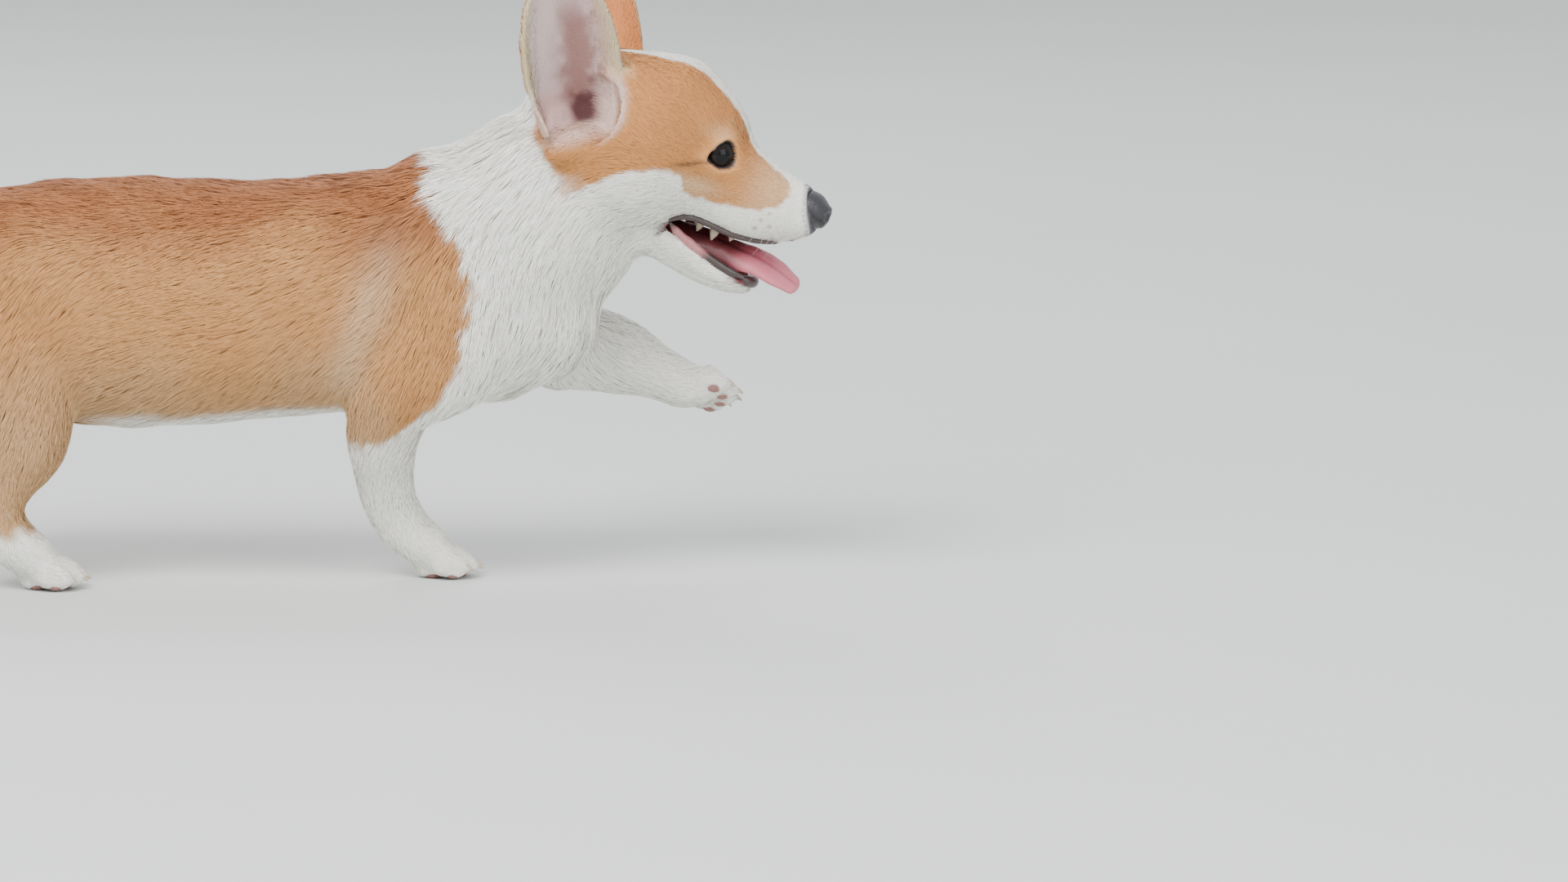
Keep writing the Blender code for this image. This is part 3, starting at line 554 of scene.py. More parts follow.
class Where:  # points of the skin in all the frames that the tables use
    def __init__(self, points, normals):
        self.points, self.normals = points, normals
        self.dog = into(points, dogFrame)
        self.head = into(points, headFrame)
        self.headNormal = turned(normals, headFrame.inverted())
        x, z = self.dog[:, 0], self.dog[:, 2]
        ahead = (x - 10.4) * 0.806 + (z - 25.65) * 0.592  # past the cut in front of the neck
        self.headness = step(ahead, -1.5, 1.5) * step(z, 13.3, 14.3)
        self.earRoot = np.zeros(len(points))
        for side in sides:
            base, up, _, _ = earAxes(side)
            reach = np.linalg.norm(self.head - base - up * 0.8, axis=1)
            self.headness = np.maximum(self.headness, fade(reach, 2.6, 3.5))
            self.earRoot = np.maximum(self.earRoot, fade(reach, 2.4, 2.7))
        self.across, self.inside, self.onEar = (np.zeros(len(points)) for _ in range(3))
        self.up = np.full(len(points), -1.0)  # share of the ear's height, from its root
        self.earUp, self.earOut = np.zeros((len(points), 3)), np.zeros((len(points), 3))
        self.hollowReach = np.full(len(points), 9.0)  # 1 on the edge of the hollow at an ear's root
        for side, s in sides.items():
            base, up, out, forward = earAxes(side)
            local = self.head - base
            t = local @ up / earSet["height"]
            a = local @ forward
            d = local @ out
            here = (s * self.head[:, 1] > 1.2) & (t > -0.12) & (np.abs(a) < 3.4) & (np.abs(d) < 3.4)
            here &= self.headness > 0.5
            self.up[here] = t[here]
            self.across[here] = (a / earHalf(t))[here]
            self.inside[here] = (self.headNormal @ out)[here]
            self.onEar[here] = step(t, 0.2, 0.32)[here]
            self.earUp[here] = up
            self.earOut[here] = forward
            local = local - up * earSet["hollowUp"] - out * earSet["hollowOut"]
            reach = np.linalg.norm(local @ np.array((forward, out, up)).T / earSet["hollowRadii"], axis=1)
            self.hollowReach = np.minimum(self.hollowReach, reach)
        # The cup, with its hollow in the side of the head
        hollow = fade(self.hollowReach, 1.0, 1.12)
        self.cup = step(self.inside, 0.05, 0.3) * (np.abs(self.across) < 1.15)
        self.cup *= step(self.up, -0.01, 0.05) * np.maximum(self.onEar, hollow)
        # Each eye's opening: 1 on its edge
        self.eye = np.full(len(points), 9.0)
        for side in sides:
            _, _, ring, near = aroundEye(points, side, 2.4)
            self.eye[near] = np.minimum(self.eye[near], ring[near])
        u, across, w = self.head.T
        self.mouth = self.mouthShare()
        self.chin = step(u, 6.6, 6.9) * step(w, -4.95, -4.7) * fade(w, -3.9, -3.7) * self.headness
        self.chin *= fade(np.abs(across), 0.9, 1.3)

    def mouthShare(self):  # 1 inside the mouth and on the lips
        u, across, w = self.head.T
        upper, lower = (tableAt(lipSet, key, u) for key in ("upper", "lower"))
        lips = between(w, (lower - 0.02, lower + 0.08), (upper - 0.02, upper + 0.08))
        lips *= between(u, *lipSet["ends"])
        half, top, bottom = (tableAt(hollowSet, key, u) for key in ("half", "top", "bottom"))
        deep = between(w, (bottom - 0.2, bottom - 0.08), (top + 0.08, top + 0.2))
        deep *= fade(np.abs(across), half + 0.05, half + 0.2) * between(u, *hollowSet["ends"])
        self.nearMouth = between(w, (lower - 1.1, lower - 0.7), (upper, upper + 0.3)) * step(u, 2.0, 2.5)
        # The skin that faces into the mouth
        inward = step(-self.headNormal[:, 1] * np.sign(across), 0.1, 0.4)
        inward *= between(w, lipSet["low"], (upper, upper + 0.3)) * between(u, *lipSet["inward"])
        return np.maximum(np.maximum(lips, deep), inward) * self.headness


# The eye's opening on the ball: angles from the nose's side upward, and radii
openingSet = {
    "angle": (20, 57, 82, 107, 155, 195, 233, 294, 337),
    "radius": (0.8, 0.89, 0.86, 0.72, 0.62, 0.88, 0.62, 0.59, 0.76),
    "soft": 5,
    "snap": (0.94, 1.1),  # the skin between these shares goes onto the edge
    "proud": 0.03,
    "sunk": 0.72,
}


def openingAt(angle):
    turns = np.degrees(angle)
    table, soft = (openingSet["angle"], openingSet["radius"]), openingSet["soft"]
    return sum(np.interp(turns + k, *table, period=360) for k in (-soft, 0, soft)) / 3


def aroundEye(points, side, reach):  # places in the eye's frame, the edge's radius, shares of it, near ones
    local = into(points, eyeFrame(side))
    edge = openingAt(np.arctan2(local[:, 2], -sides[side] * local[:, 1]))
    ring = np.hypot(local[:, 1], local[:, 2]) / edge
    return local, edge, ring, (local[:, 0] > 0) & (np.linalg.norm(local, axis=1) < reach)


# The lips' edges, seen from the side in the head's frame
lipSet = {
    "x": (2.65, 3.0, 3.5, 4.5, 5.8, 7.0, 7.8, 8.3, 9.0),
    "upper": (-2.45, -2.15, -1.97, -2.08, -2.35, -2.32, -2.2, -2.0, -1.6),
    "lower": (-2.6, -2.85, -3.08, -3.53, -3.98, -4.2, -4.3, -4.3, -4.3),
    "ends": ((2.45, 2.7), (8.9, 9.1)),
    "inward": ((2.3, 2.6), (8.3, 8.6)),
    "low": (-5.0, -4.8),
}
# The hollow of the mouth
hollowSet = {
    "x": (1.2, 2.8, 4.4, 6.0, 7.2, 8.4),
    "half": (1.6, 1.75, 1.6, 1.35, 1.05, 0.85),
    "top": (-2.5, -2.25, -2.25, -2.25, -2.1, -1.8),
    "bottom": (-3.4, -3.85, -4.6, -4.7, -4.55, -3.8),
    "ends": ((0.2, 0.5), (8.0, 8.3)),
}

# The coat: each row is a place, the way the hair lies and its length. Rows off the middle line
# stand for both sides of the body.
bodyCoat = [
    ((11.0, 0, 26.0), (-0.7, 0, -0.7), 1.7),
    ((4.0, 0, 22.4), (-0.97, 0, -0.25), 1.6),
    ((-5.0, 0, 21.3), (-1, 0, -0.03), 1.4),
    ((-15.0, 0, 21.2), (-1, 0, -0.03), 1.4),
    ((-21.0, 0, 19.5), (-0.85, 0, -0.5), 1.6),
    ((2.0, 5.7, 14.0), (-0.85, 0, -0.52), 1.4),
    ((-8.0, 5.8, 14.0), (-0.95, 0, -0.3), 1.35),
    ((-8.0, 4.5, 9.5), (-0.85, -0.1, -0.5), 1.5),
    ((-3.0, 0, 8.5), (-1, 0, -0.15), 1.3),
    ((-14.0, 0, 8.6), (-1, 0, -0.15), 1.2),
    ((-17.5, 5.8, 13.5), (-0.5, 0, -0.87), 1.4),
    ((-21.5, 4.5, 11.0), (-0.55, 0, -0.84), 2.0),
    ((11.0, 5.0, 20.5), (-0.5, 0, -0.86), 1.9),
    ((8.0, 5.2, 15.5), (-0.3, 0, -0.95), 2.1),
    ((14.5, 0, 18.5), (-0.3, 0, -0.95), 1.8),
    ((14.4, 0, 14.0), (-0.25, 0, -0.97), 2.1),
    ((11.0, 0, 9.6), (-0.9, 0, -0.45), 1.8),
    ((6.0, 5.8, 14.5), (-0.45, 0, -0.9), 1.5),
    ((-23.2, 0, 19.6), (-0.95, 0, -0.2), 1.8),
    ((-26.5, 0, 17.8), (-1, 0, -0.2), 2.8),
    ((-24.0, 0, 16.2), (-0.8, 0, -0.6), 1.8),
]
limbCoat = [
    ((3.3, -4.3, 9.0), (-0.25, 0, -0.95), 1.1),
    ((3.2, -2.0, 6.0), (-0.05, 0, -1), 0.8),
    ((3.8, -0.8, 3.6), (0.3, 0, -0.95), 0.6),
    ((6.6, -0.4, 1.4), (0.95, 0, -0.3), 0.4),
    ((14.0, 4.3, 12.2), (0.75, 0, -0.6), 1.1),
    ((17.2, 3.7, 10.6), (0.93, 0, -0.35), 0.7),
    ((20.6, 3.4, 9.9), (1, 0, -0.15), 0.4),
    ((-16.3, -4.1, 7.8), (-0.35, 0, -0.93), 1.1),
    ((-17.1, -4.3, 4.6), (-0.05, 0, -1), 0.7),
    ((-14.2, -4.4, 1.4), (0.95, 0, -0.3), 0.4),
    ((-20.8, 4.2, 7.8), (-0.6, 0, -0.8), 1.1),
    ((-23.8, 4.5, 4.8), (-0.15, 0, -1), 0.7),
    ((-21.5, 4.6, 1.4), (0.95, 0, -0.3), 0.4),
]
headCoat = [
    ((8.6, 0, 1.4), (-1, 0, 0.25), 0.22),
    ((6.5, 0, 1.8), (-1, 0, 0.2), 0.3),
    ((4.7, 0, 2.7), (-0.7, 0, 0.7), 0.38),
    ((2.5, 0, 5.0), (-0.9, 0, 0.4), 0.55),
    ((-1.7, 0, 5.6), (-1, 0, -0.05), 0.7),
    ((-5.5, 0, 3.0), (-0.6, 0, -0.8), 1.4),
    ((7.8, 1.7, -0.6), (-1, 0.1, -0.15), 0.28),
    ((6.0, 2.1, -1.9), (-1, 0.05, -0.3), 0.35),
    ((4.4, 2.7, -1.4), (-1, 0.2, -0.2), 0.45),
    ((1.5, 4.2, -1.6), (-0.95, 0.1, -0.3), 0.75),
    ((-1.2, 4.8, -3.0), (-0.8, 0.05, -0.6), 1.3),
    ((1.8, 4.0, 2.2), (-0.95, 0.2, 0.2), 0.5),
    ((3.7, 2.1, 3.1), (-0.55, 0.35, 0.75), 0.35),
    ((4.9, 1.7, 1.2), (-0.7, 0.3, -0.5), 0.3),
    ((3.8, 3.1, 0.3), (-0.95, 0.25, -0.2), 0.4),
    ((-0.8, 4.5, 3.2), (-0.7, 0.2, 0.6), 0.65),
    ((-2.4, 5.0, -0.8), (-0.75, 0, -0.65), 1.1),
    ((-4.8, 3.8, 0.0), (-0.7, 0, -0.7), 1.5),
    ((6.5, 0, -5.4), (-1, 0, -0.05), 0.45),
    ((3.0, 0, -5.2), (-1, 0, -0.15), 0.7),
    ((4.5, 1.8, -4.8), (-1, 0.05, -0.2), 0.45),
    ((-0.5, 1.0, -5.4), (-0.8, 0, -0.6), 1.3),
]


def mirrored(rows):
    both = []
    for place, way, length in rows:
        both.append((place, way, length))
        if place[1]:
            both.append((onSide(place, -1), onSide(way, -1), length))
    return both


def spread(points, rows):  # the rows' directions and lengths, shared out by distance
    total = np.zeros((len(points), 4))
    weights = np.zeros(len(points))
    for place, way, length in rows:
        weight = 1 / (((points - place) ** 2).sum(axis=1) + 0.3) ** 2
        total += weight[:, None] * np.array((*way, length))
        weights += weight
    return total / weights[:, None]


def coatAt(where):  # the way the hair lies and its length in metres
    body = spread(where.dog, mirrored(bodyCoat) + limbCoat)
    head = spread(where.head, mirrored(headCoat))
    share = where.headness[:, None]
    way = turned(unit(body[:, :3]), dogFrame) * (1 - share) + turned(unit(head[:, :3]), headFrame) * share
    length = (body[:, 3:] * (1 - share) + head[:, 3:] * share)[:, 0]
    # On the ears it lies toward the tip and the margins
    rim = np.clip(where.across, -1, 1)[:, None]
    onEar = where.onEar[:, None]
    margin = step(np.abs(rim), 0.7, 0.95)
    earWay = turned(where.earUp + where.earOut * rim * (0.35 + 0.45 * margin), headFrame)
    way = way * (1 - onEar) + earWay * onEar
    length = length * (1 - where.onEar) + (0.42 + 0.3 * margin[:, 0]) * where.onEar
    length = np.minimum(length, 0.45 + 1.2 * step(where.hollowReach, 1.1, 1.9))
    swirl = 0.16 * wander(where.points, 0.03, 21)[:, None] * np.cross(where.normals, way)
    way = way + swirl
    way = unit(way - where.normals * (way * where.normals).sum(axis=1)[:, None])
    return way, length * cm


def fromNose(where, key):
    return np.linalg.norm(where.head - noseSet[key], axis=1)


def coatDepth(where, length):  # how far the skin lies below the coat's surface
    depth = np.clip(0.22 * length, 0.0004, 0.0042)
    depth *= 1 - 0.75 * np.maximum(where.onEar, where.cup)
    depth *= step(where.eye, 1.1, 2.2) * (1 - 0.9 * where.mouth)
    return depth * step(fromNose(where, "under"), 1.0, 2.0) * (0.3 + 0.7 * step(where.dog[:, 2], 0.2, 1.2))


def openLids(points):  # the skin ends on each opening's edge, and inside it lies behind the eyeball
    start, end = openingSet["snap"]
    ball = headSet["eyeRadius"] + openingSet["proud"]
    for side in sides:
        local, edge, ring, near = aroundEye(points, side, 1.5)
        snap = near & (ring > start) & (ring < end)
        local[snap, 1:] /= ring[snap, None]
        local[snap, 0] = np.sqrt(ball**2 - edge[snap] ** 2)
        local[near & (ring <= start)] *= openingSet["sunk"]
        points[near] = outOf(local[near], eyeFrame(side))
    return points


def makeSkin():
    mesh = melted(fleshMesh(), skinSet["voxel"])
    near = neighboursOf(mesh)
    points = pointsOf(mesh)
    where = Where(points, normalsOf(mesh))
    x, z = where.dog[:, 0], where.dog[:, 2]
    ahead, high = skinSet["paws"]["raised"]
    paws = (z < skinSet["paws"]["low"]) | (x > ahead) & (z < high)
    times = skinSet["rounds"]
    rounds = times["body"] * (1 - where.headness) + times["head"] * where.headness
    face = where.headness * step(where.eye, 1.3, 2.0)
    for share in (where.mouth, where.onEar, where.cup, where.nearMouth):
        face *= 1 - share
    rounds = np.where(paws, times["paws"], np.maximum(rounds, times["face"] * face))
    points = relaxed(points, near, rounds)
    placed(mesh, points)
    where = Where(points, normalsOf(mesh))
    _, length = coatAt(where)
    points = points - where.normals * coatDepth(where, length)[:, None]
    points = relaxed(points, near, np.where(where.eye < 1.6, 0, times["last"]))
    points[:, 2] = np.maximum(points[:, 2], skinSet["floor"])
    placed(mesh, openLids(points))
    mesh.shade_smooth()
    return mesh


# Markings
hair = {
    "white": tint(250, 248, 240),
    "cream": tint(226, 198, 160),
    "tan": tint(202, 146, 90),
    "flank": tint(203, 166, 120),
    "saddle": tint(160, 95, 54),
    "face": tint(206, 142, 80),
    "dusk": tint(86, 58, 42),
    "earBack": tint(212, 134, 76),
    "earRim": tint(214, 196, 158),
}
bare = {
    "pink": tint(204, 158, 154),
    "lilac": tint(198, 176, 172),
    "rim": tint(226, 200, 188),
    "band": tint(132, 88, 82),
    # painted shade for the hollow at the foot of the ear's cup
    "deep": tint(74, 34, 35),
    "lips": tint(44, 34, 33),
    # the mouth's red lining, darkened by painted shade
    "mouth": tint(92, 40, 42),
    "gum": tint(186, 120, 122),
    "noseSeat": tint(74, 68, 76),
}
markings = {
    # The edge of the white collar and legs, seen from the side: height and how far forward the tan goes
    "collarZ": (7.6, 8.1, 8.8, 9.4, 10.7, 12.5, 14.4, 16.4, 18.7, 19.8, 20.4, 21.3, 22.6, 24.0),
    "collarX": (1.5, 3.4, 4.0, 5.0, 6.5, 7.8, 8.0, 8.2, 7.6, 7.0, 6.5, 6.3, 6.2, 6.1),
    # The lower edge of the face's colour and the half width of the blaze, along the muzzle
    "cheekX": (-5.6, -2.9, -2.5, -1.4, -0.1, 0.7, 1.7, 2.8, 3.2, 4.35, 5.3, 7.0, 7.9, 8.5, 9.0),
    "cheekZ": (0.35, -1.5, -1.9, -1.3, -0.4, -0.05, 0.3, 0.33, -0.5, -0.65, -0.7, -0.45, 0.05, 0.5, 1.25),
    "blazeX": (-3.2, -2.0, 0.0, 1.4, 2.8, 4.6, 6.5, 7.8, 8.6),
    "blazeHalf": (0.0, 0.5, 1.2, 1.35, 0.85, 0.6, 0.6, 0.9, 1.6),
    "headEnds": ((-5.4, -5.0), (8.6, 9.0)),
    "soft": 0.12,  # half the width of an edge
    "ragged": ((0.22, 0.004, 3), (0.25, 0.02, 4)),  # how far, size in metres and seed
    "headRagged": ((0.1, 0.004, 11), (0.08, 0.011, 12)),
    "loin": -6,  # in front of it all is white below the next row's heights
    "forelegs": (7.9, 8.4),
    "hind": -10,
    "socks": (3.4, 4.4),
    # The line along the back, how far below it the saddle fades, and its dip behind the shoulder
    "saddleX": (-24, -12, -2, 4),
    "saddleZ": (20.0, 21.2, 21.0, 22.0),
    "saddle": (0.6, 4.2, 1.3),
    "saddleDip": ((0, 1.2), (4.5, 5.5)),
    "saddleRagged": ((0.8, 0.035, 5), (0.3, 0.008, 6)),
    # The painted highlight down the shoulder's bulge: its middle along the body at two heights, then where
    # it starts and ends in height
    "shoulderHighlightZ": (11, 20),
    "shoulderHighlightX": (1.6, 4.6),
    "band": ((10, 12), (19, 20.5)),
    # Pale spots: middle and width along the muzzle, then up
    "brow": ((3.9, 0.8), (2.8, 0.4)),
    "cheek": ((3.6, 1.3), (-0.1, 0.5)),
    "muzzle": (5.0, 7.5),
    "streak": ((1.7, 3.0), (3.7, 4.0)),
    "shares": {
        "flank": 0.75, "band": 0.5, "saddle": 0.85, "rear": 0.6,
        "brow": 0.3, "cheek": 0.7, "muzzle": 0.55, "streak": 0.75, "spot": 0.6,
    },
}


def blend(first, second, share):
    return first * (1 - share[:, None]) + np.asarray(second) * share[:, None]


def bodyMarks(where):
    x, y, z = where.dog.T
    soft, shares = markings["soft"], markings["shares"]
    ragged = wanders(where.points, markings["ragged"])
    edge = np.interp(z, markings["collarZ"], markings["collarX"])
    tan = fade(x + ragged, edge - soft, edge + soft)
    # Below: white forelegs, belly and socks
    tan *= np.where(x > markings["loin"], step(z + ragged, *markings["forelegs"]), 1)
    belly = step(-where.normals[:, 2], 0.62, 0.85) * fade(np.abs(y), 2.6, 4.0) * step(x, -13, -9)
    socks = (x < markings["hind"]) * fade(z + 2 * ragged, *markings["socks"])
    tan *= (1 - belly) * (1 - socks)
    below = np.interp(x, markings["saddleX"], markings["saddleZ"]) - z
    below += wanders(where.points, markings["saddleRagged"])
    start, end, dip = markings["saddle"]
    saddle = fade(below, start, end + dip * between(x, *markings["saddleDip"]))
    flank = step(14.5 - z + wander(where.points, 0.03, 7), 0, 5.5) * fade(x, 3, 5)
    # A painted highlight runs down the shoulder, a pale band along the bulge of the shoulder blade and upper
    # arm
    middle = np.interp(z, markings["shoulderHighlightZ"], markings["shoulderHighlightX"])
    band = hump((x, middle, 1.0)) * between(z, *markings["band"])
    rear = fade(x, -23.5, -20.5) * fade(z, 15, 18) * step(-where.normals[:, 0], 0.2, 0.7)
    colour = np.tile(hair["tan"], (len(x), 1))
    # The band's cream is a painted highlight; the flank, saddle and rear tones are the coat's own
    tones = {"flank": "flank", "band": "cream", "saddle": "saddle", "rear": "cream"}
    for (name, tone), share in zip(tones.items(), (flank, band, saddle, rear)):
        colour = blend(colour, hair[tone], shares[name] * share)
    return blend(np.tile(hair["white"], (len(x), 1)), colour, tan)


def headMarks(where):
    u, across, w = where.head.T
    y = np.abs(across)
    soft, shares = markings["soft"], markings["shares"]
    ragged = wanders(where.points, markings["headRagged"])
    lower = np.interp(u, markings["cheekX"], markings["cheekZ"])
    face = step(w + ragged, lower - soft, lower + soft) * between(u + ragged, *markings["headEnds"])
    half = np.interp(u, markings["blazeX"], markings["blazeHalf"])
    face *= step(y + ragged, half - soft, half + 0.15) + (u < -3.0) * fade(y, 0.0, 0.3)
    face = np.clip(np.maximum(face, where.earRoot * step(w, -0.8, 0.0)), 0, 1)
    brow, cheek = (hump((u, *along), (w, *high)) for along, high in (markings["brow"], markings["cheek"]))
    pale = shares["brow"] * brow * (y < 3.4) + shares["cheek"] * cheek
    pale += shares["muzzle"] * step(u, *markings["muzzle"])
    colour = blend(np.tile(hair["face"], (len(u), 1)), hair["cream"], np.clip(pale, 0, 0.8))
    streak = hump((w - 1.15 + 0.42 * (3.5 - u), 0, 0.12)) * between(u, *markings["streak"])
    colour = blend(colour, hair["dusk"], shares["streak"] * streak * (y > 2.3))
    colour = blend(np.tile(hair["white"], (len(u), 1)), colour, face)
    for a, b in whiskerSet["spots"]:
        spot = hump((np.hypot(u - a, w - b), 0, whiskerSet["spot"])) * (y > 0.8)
        colour = blend(colour, hair["dusk"], shares["spot"] * spot)
    colour = blend(colour, bare["noseSeat"], fade(fromNose(where, "seat"), 1.28, 1.5))
    return blend(colour, bare["lips"], fade(where.eye, 1.06, 1.16))


def earMarks(where, colour):
    back = where.onEar * fade(where.inside, -0.1, 0.25)
    colour = blend(colour, hair["earBack"], back)
    # The edge of the hollow is pale, most of all in front
    edge = fade(where.hollowReach, 1.1, 1.4) * step(where.up, -0.09, 0.0) * (1 - back)
    edge *= (1 - where.onEar) * (0.75 + 0.25 * step(where.across, 0.0, 0.8)) * step(where.inside, -0.5, 0.0)
    colour = blend(colour, bare["rim"], edge)
    rim = np.clip(np.abs(where.across), 0, 1)
    colour = blend(colour, hair["earRim"], where.onEar * step(rim, 0.6, 0.9) * step(where.inside, -0.4, 0.2))
    cup = where.cup * fade(rim, 0.6, 0.98)
    inner = np.tile(bare["lilac"], (len(rim), 1))
    # A brown band runs up the middle from the hollow, softly blotched
    blotch = wanders(where.points, ((0.08, 0.006, 14), (0.05, 0.0025, 15)))
    middle = 0.32 - 0.06 * where.up + blotch
    broad = 0.48 - 0.12 * where.up
    band = np.exp(-((np.abs((where.across - middle) / broad)) ** 3)) * fade(where.up, 0.6, 0.92)
    inner = blend(inner, bare["band"], 0.9 * band)
    inner = blend(inner, bare["pink"], 0.6 * fade(where.up, 0.12, 0.35) * (1 - band))
    # Painted shade: the hollow at the foot of the cup and a small pocket low near its edge are painted dark
    deep = fade(np.hypot((where.across - 0.36) / 0.36, (where.up - 0.1) / 0.11) + 2 * blotch, 0.5, 1.2)
    inner = blend(inner, bare["deep"], deep)
    pocket = hump((where.across, -0.8, 0.1), (where.up, 0.18, 0.07))
    inner = blend(inner, bare["deep"], 0.7 * pocket)
    return blend(colour, inner, cup)


def mouthMarks(where, colour):
    u, across, w = where.head.T
    half = tableAt(hollowSet, "half", u)
    inner = fade(np.abs(across), half + 0.05, half + 0.3)
    # Inside the lips the lining is the mouth's red skin, darkened as painted shade
    lining = blend(np.tile(bare["lips"], (len(u), 1)), bare["mouth"], inner)
    low, top = (tableAt(lipSet, key, u) for key in ("lower", "upper"))
    gum = fade(u, 5.2, 6.2) * fade(w, low * 0.6 + top * 0.4, low * 0.4 + top * 0.6)
    lining = blend(lining, bare["gum"], 0.85 * gum)
    colour = blend(colour, bare["lips"], where.chin)
    return blend(colour, lining, where.mouth)


def colourAt(where):
    colour = blend(bodyMarks(where), headMarks(where), where.headness)
    return mouthMarks(where, earMarks(where, colour))


def bareAt(where):  # 1 where no hair grows
    cup = where.cup * (1 - 0.9 * step(np.abs(where.across), 0.5, 0.85))
    noseSeat = fade(fromNose(where, "seat"), 1.28, 1.42)
    return np.clip(cup + where.mouth + where.chin + (where.eye < 1.14) + noseSeat, 0, 1)


def skinPaint():
    paint = Paint("skin", Roughness=0.6)
    fine = paint.noise(900, 4)
    broad = paint.noise(60)
    colour = paint.shaded(paint.attribute("hide", "Color"), 0.8 + 0.3 * fine + 0.1 * broad)
    paint.bump(paint.noise(1400, 3, place=paint.stretched(paint.place(), (0.35, 1, 1))), 0.0006, 0.5)
    wet = paint.attribute("wet")
    return paint.finish(Base_Color=colour, Roughness=0.75 - 0.4 * wet)


# The coat
coatSet = {
    "seed": 12,
    "blades": 465000,
    "most": 62000,  # in one piece, three triangles each
    "patch": 0.003,
    "aside": 0.13,
    "long": (0.65, 1.1),  # shares of the coat's length
    "rise": (0.75, 1.15),  # shares of its depth
    "loose": (0.0022, 0.001),  # how far tips stand off, where the hair is long and on the ears' margins
    "tuft": 14,
    "pull": (0.1, 0.22),
    "joints": ((0.5, 0.78), (1.0, 1.0)),  # shares of a blade's way and of its rise
    "width": 0.00034,
    "widths": (0.75, 1.25),
    "roll": 0.35,
    "shades": (0.92, 1.07),
    "specks": 0.05,
    "neck": 6.2,  # where the regions end
    "legs": 8.3,
    "rump": -20.5,
    "raisedLeg": (13.5, 13),
}


def regionOf(where):
    x, z = where.dog[:, 0], where.dog[:, 2]
    head = where.headness > 0.5
    region = np.full(len(x), "body")
    region[x > coatSet["neck"]] = "neck"
    ahead, high = coatSet["raisedLeg"]
    region[(z < coatSet["legs"]) | ((x > ahead) & (z < high))] = "legs"
    rump = x < coatSet["rump"]
    region[rump] = np.where(z[rump] > coatSet["legs"], "rump", "legs")
    region[head] = "head"
    region[head & ((where.onEar > 0.5) | (where.cup > 0.5))] = "ears"
    return region


regions = {  # their pieces' names and slots
    "head": ("coatHead", "face_coat"),
    "neck": ("coatNeck", "white_coat"),
    "body": ("coatBody", "tan_coat"),
    "legs": ("coatLegs", "white_coat"),
    "rump": ("coatRump", "tan_coat"),
    "ears": ("coatEars", "face_coat"),
}


def growRoots(mesh, draw):  # evenly for their length, and none where the skin is bare
    points, faces = pointsOf(mesh), trianglesOf(mesh)
    corners = points[faces]
    area = np.linalg.norm(np.cross(corners[:, 1] - corners[:, 0], corners[:, 2] - corners[:, 0]), axis=1) / 2
    normals = normalsOf(mesh)
    where = Where(corners.mean(axis=1), unit(normals[faces].mean(axis=1)))
    _, length = coatAt(where)
    crowd = np.clip((length / cm) ** -0.8, 0, 3.2) * (1 + 0.25 * where.headness)
    floor = step(where.points[:, 2], 0.0005, 0.003)
    chance = area * crowd * (1 - bareAt(where)) * floor
    chance = np.cumsum(chance) / chance.sum()
    pick = np.searchsorted(chance, np.sort(draw.random(coatSet["blades"])))
    a, b = draw.random((2, len(pick), 1))
    flip = a + b > 1
    a, b = np.where(flip, 1 - a, a), np.where(flip, 1 - b, b)
    trio = corners[pick]
    root = trio[:, 0] * (1 - a - b) + trio[:, 1] * a + trio[:, 2] * b
    trio = normals[faces[pick]]
    return root, unit(trio[:, 0] * (1 - a - b) + trio[:, 1] * a + trio[:, 2] * b)


def nearestOn(tree, points):
    places, ways = np.empty((len(points), 3)), np.empty((len(points), 3))
    faces = np.empty(len(points), np.int32)
    for k, point in enumerate(points.tolist()):
        place, normal, face, _ = tree.find_nearest(point)
        places[k], ways[k], faces[k] = place, normal, face
    return places, ways, faces


def clumps(root, share, draw):  # each blade's tuft, by the nearest of a few roots
    seeds = draw.choice(len(root), int(len(root) * share), replace=False)
    tree = KDTree(len(seeds))
    for k, seed in enumerate(seeds.tolist()):
        tree.insert(root[seed], k)
    tree.balance()
    return seeds[[tree.find(point)[1] for point in root.tolist()]]


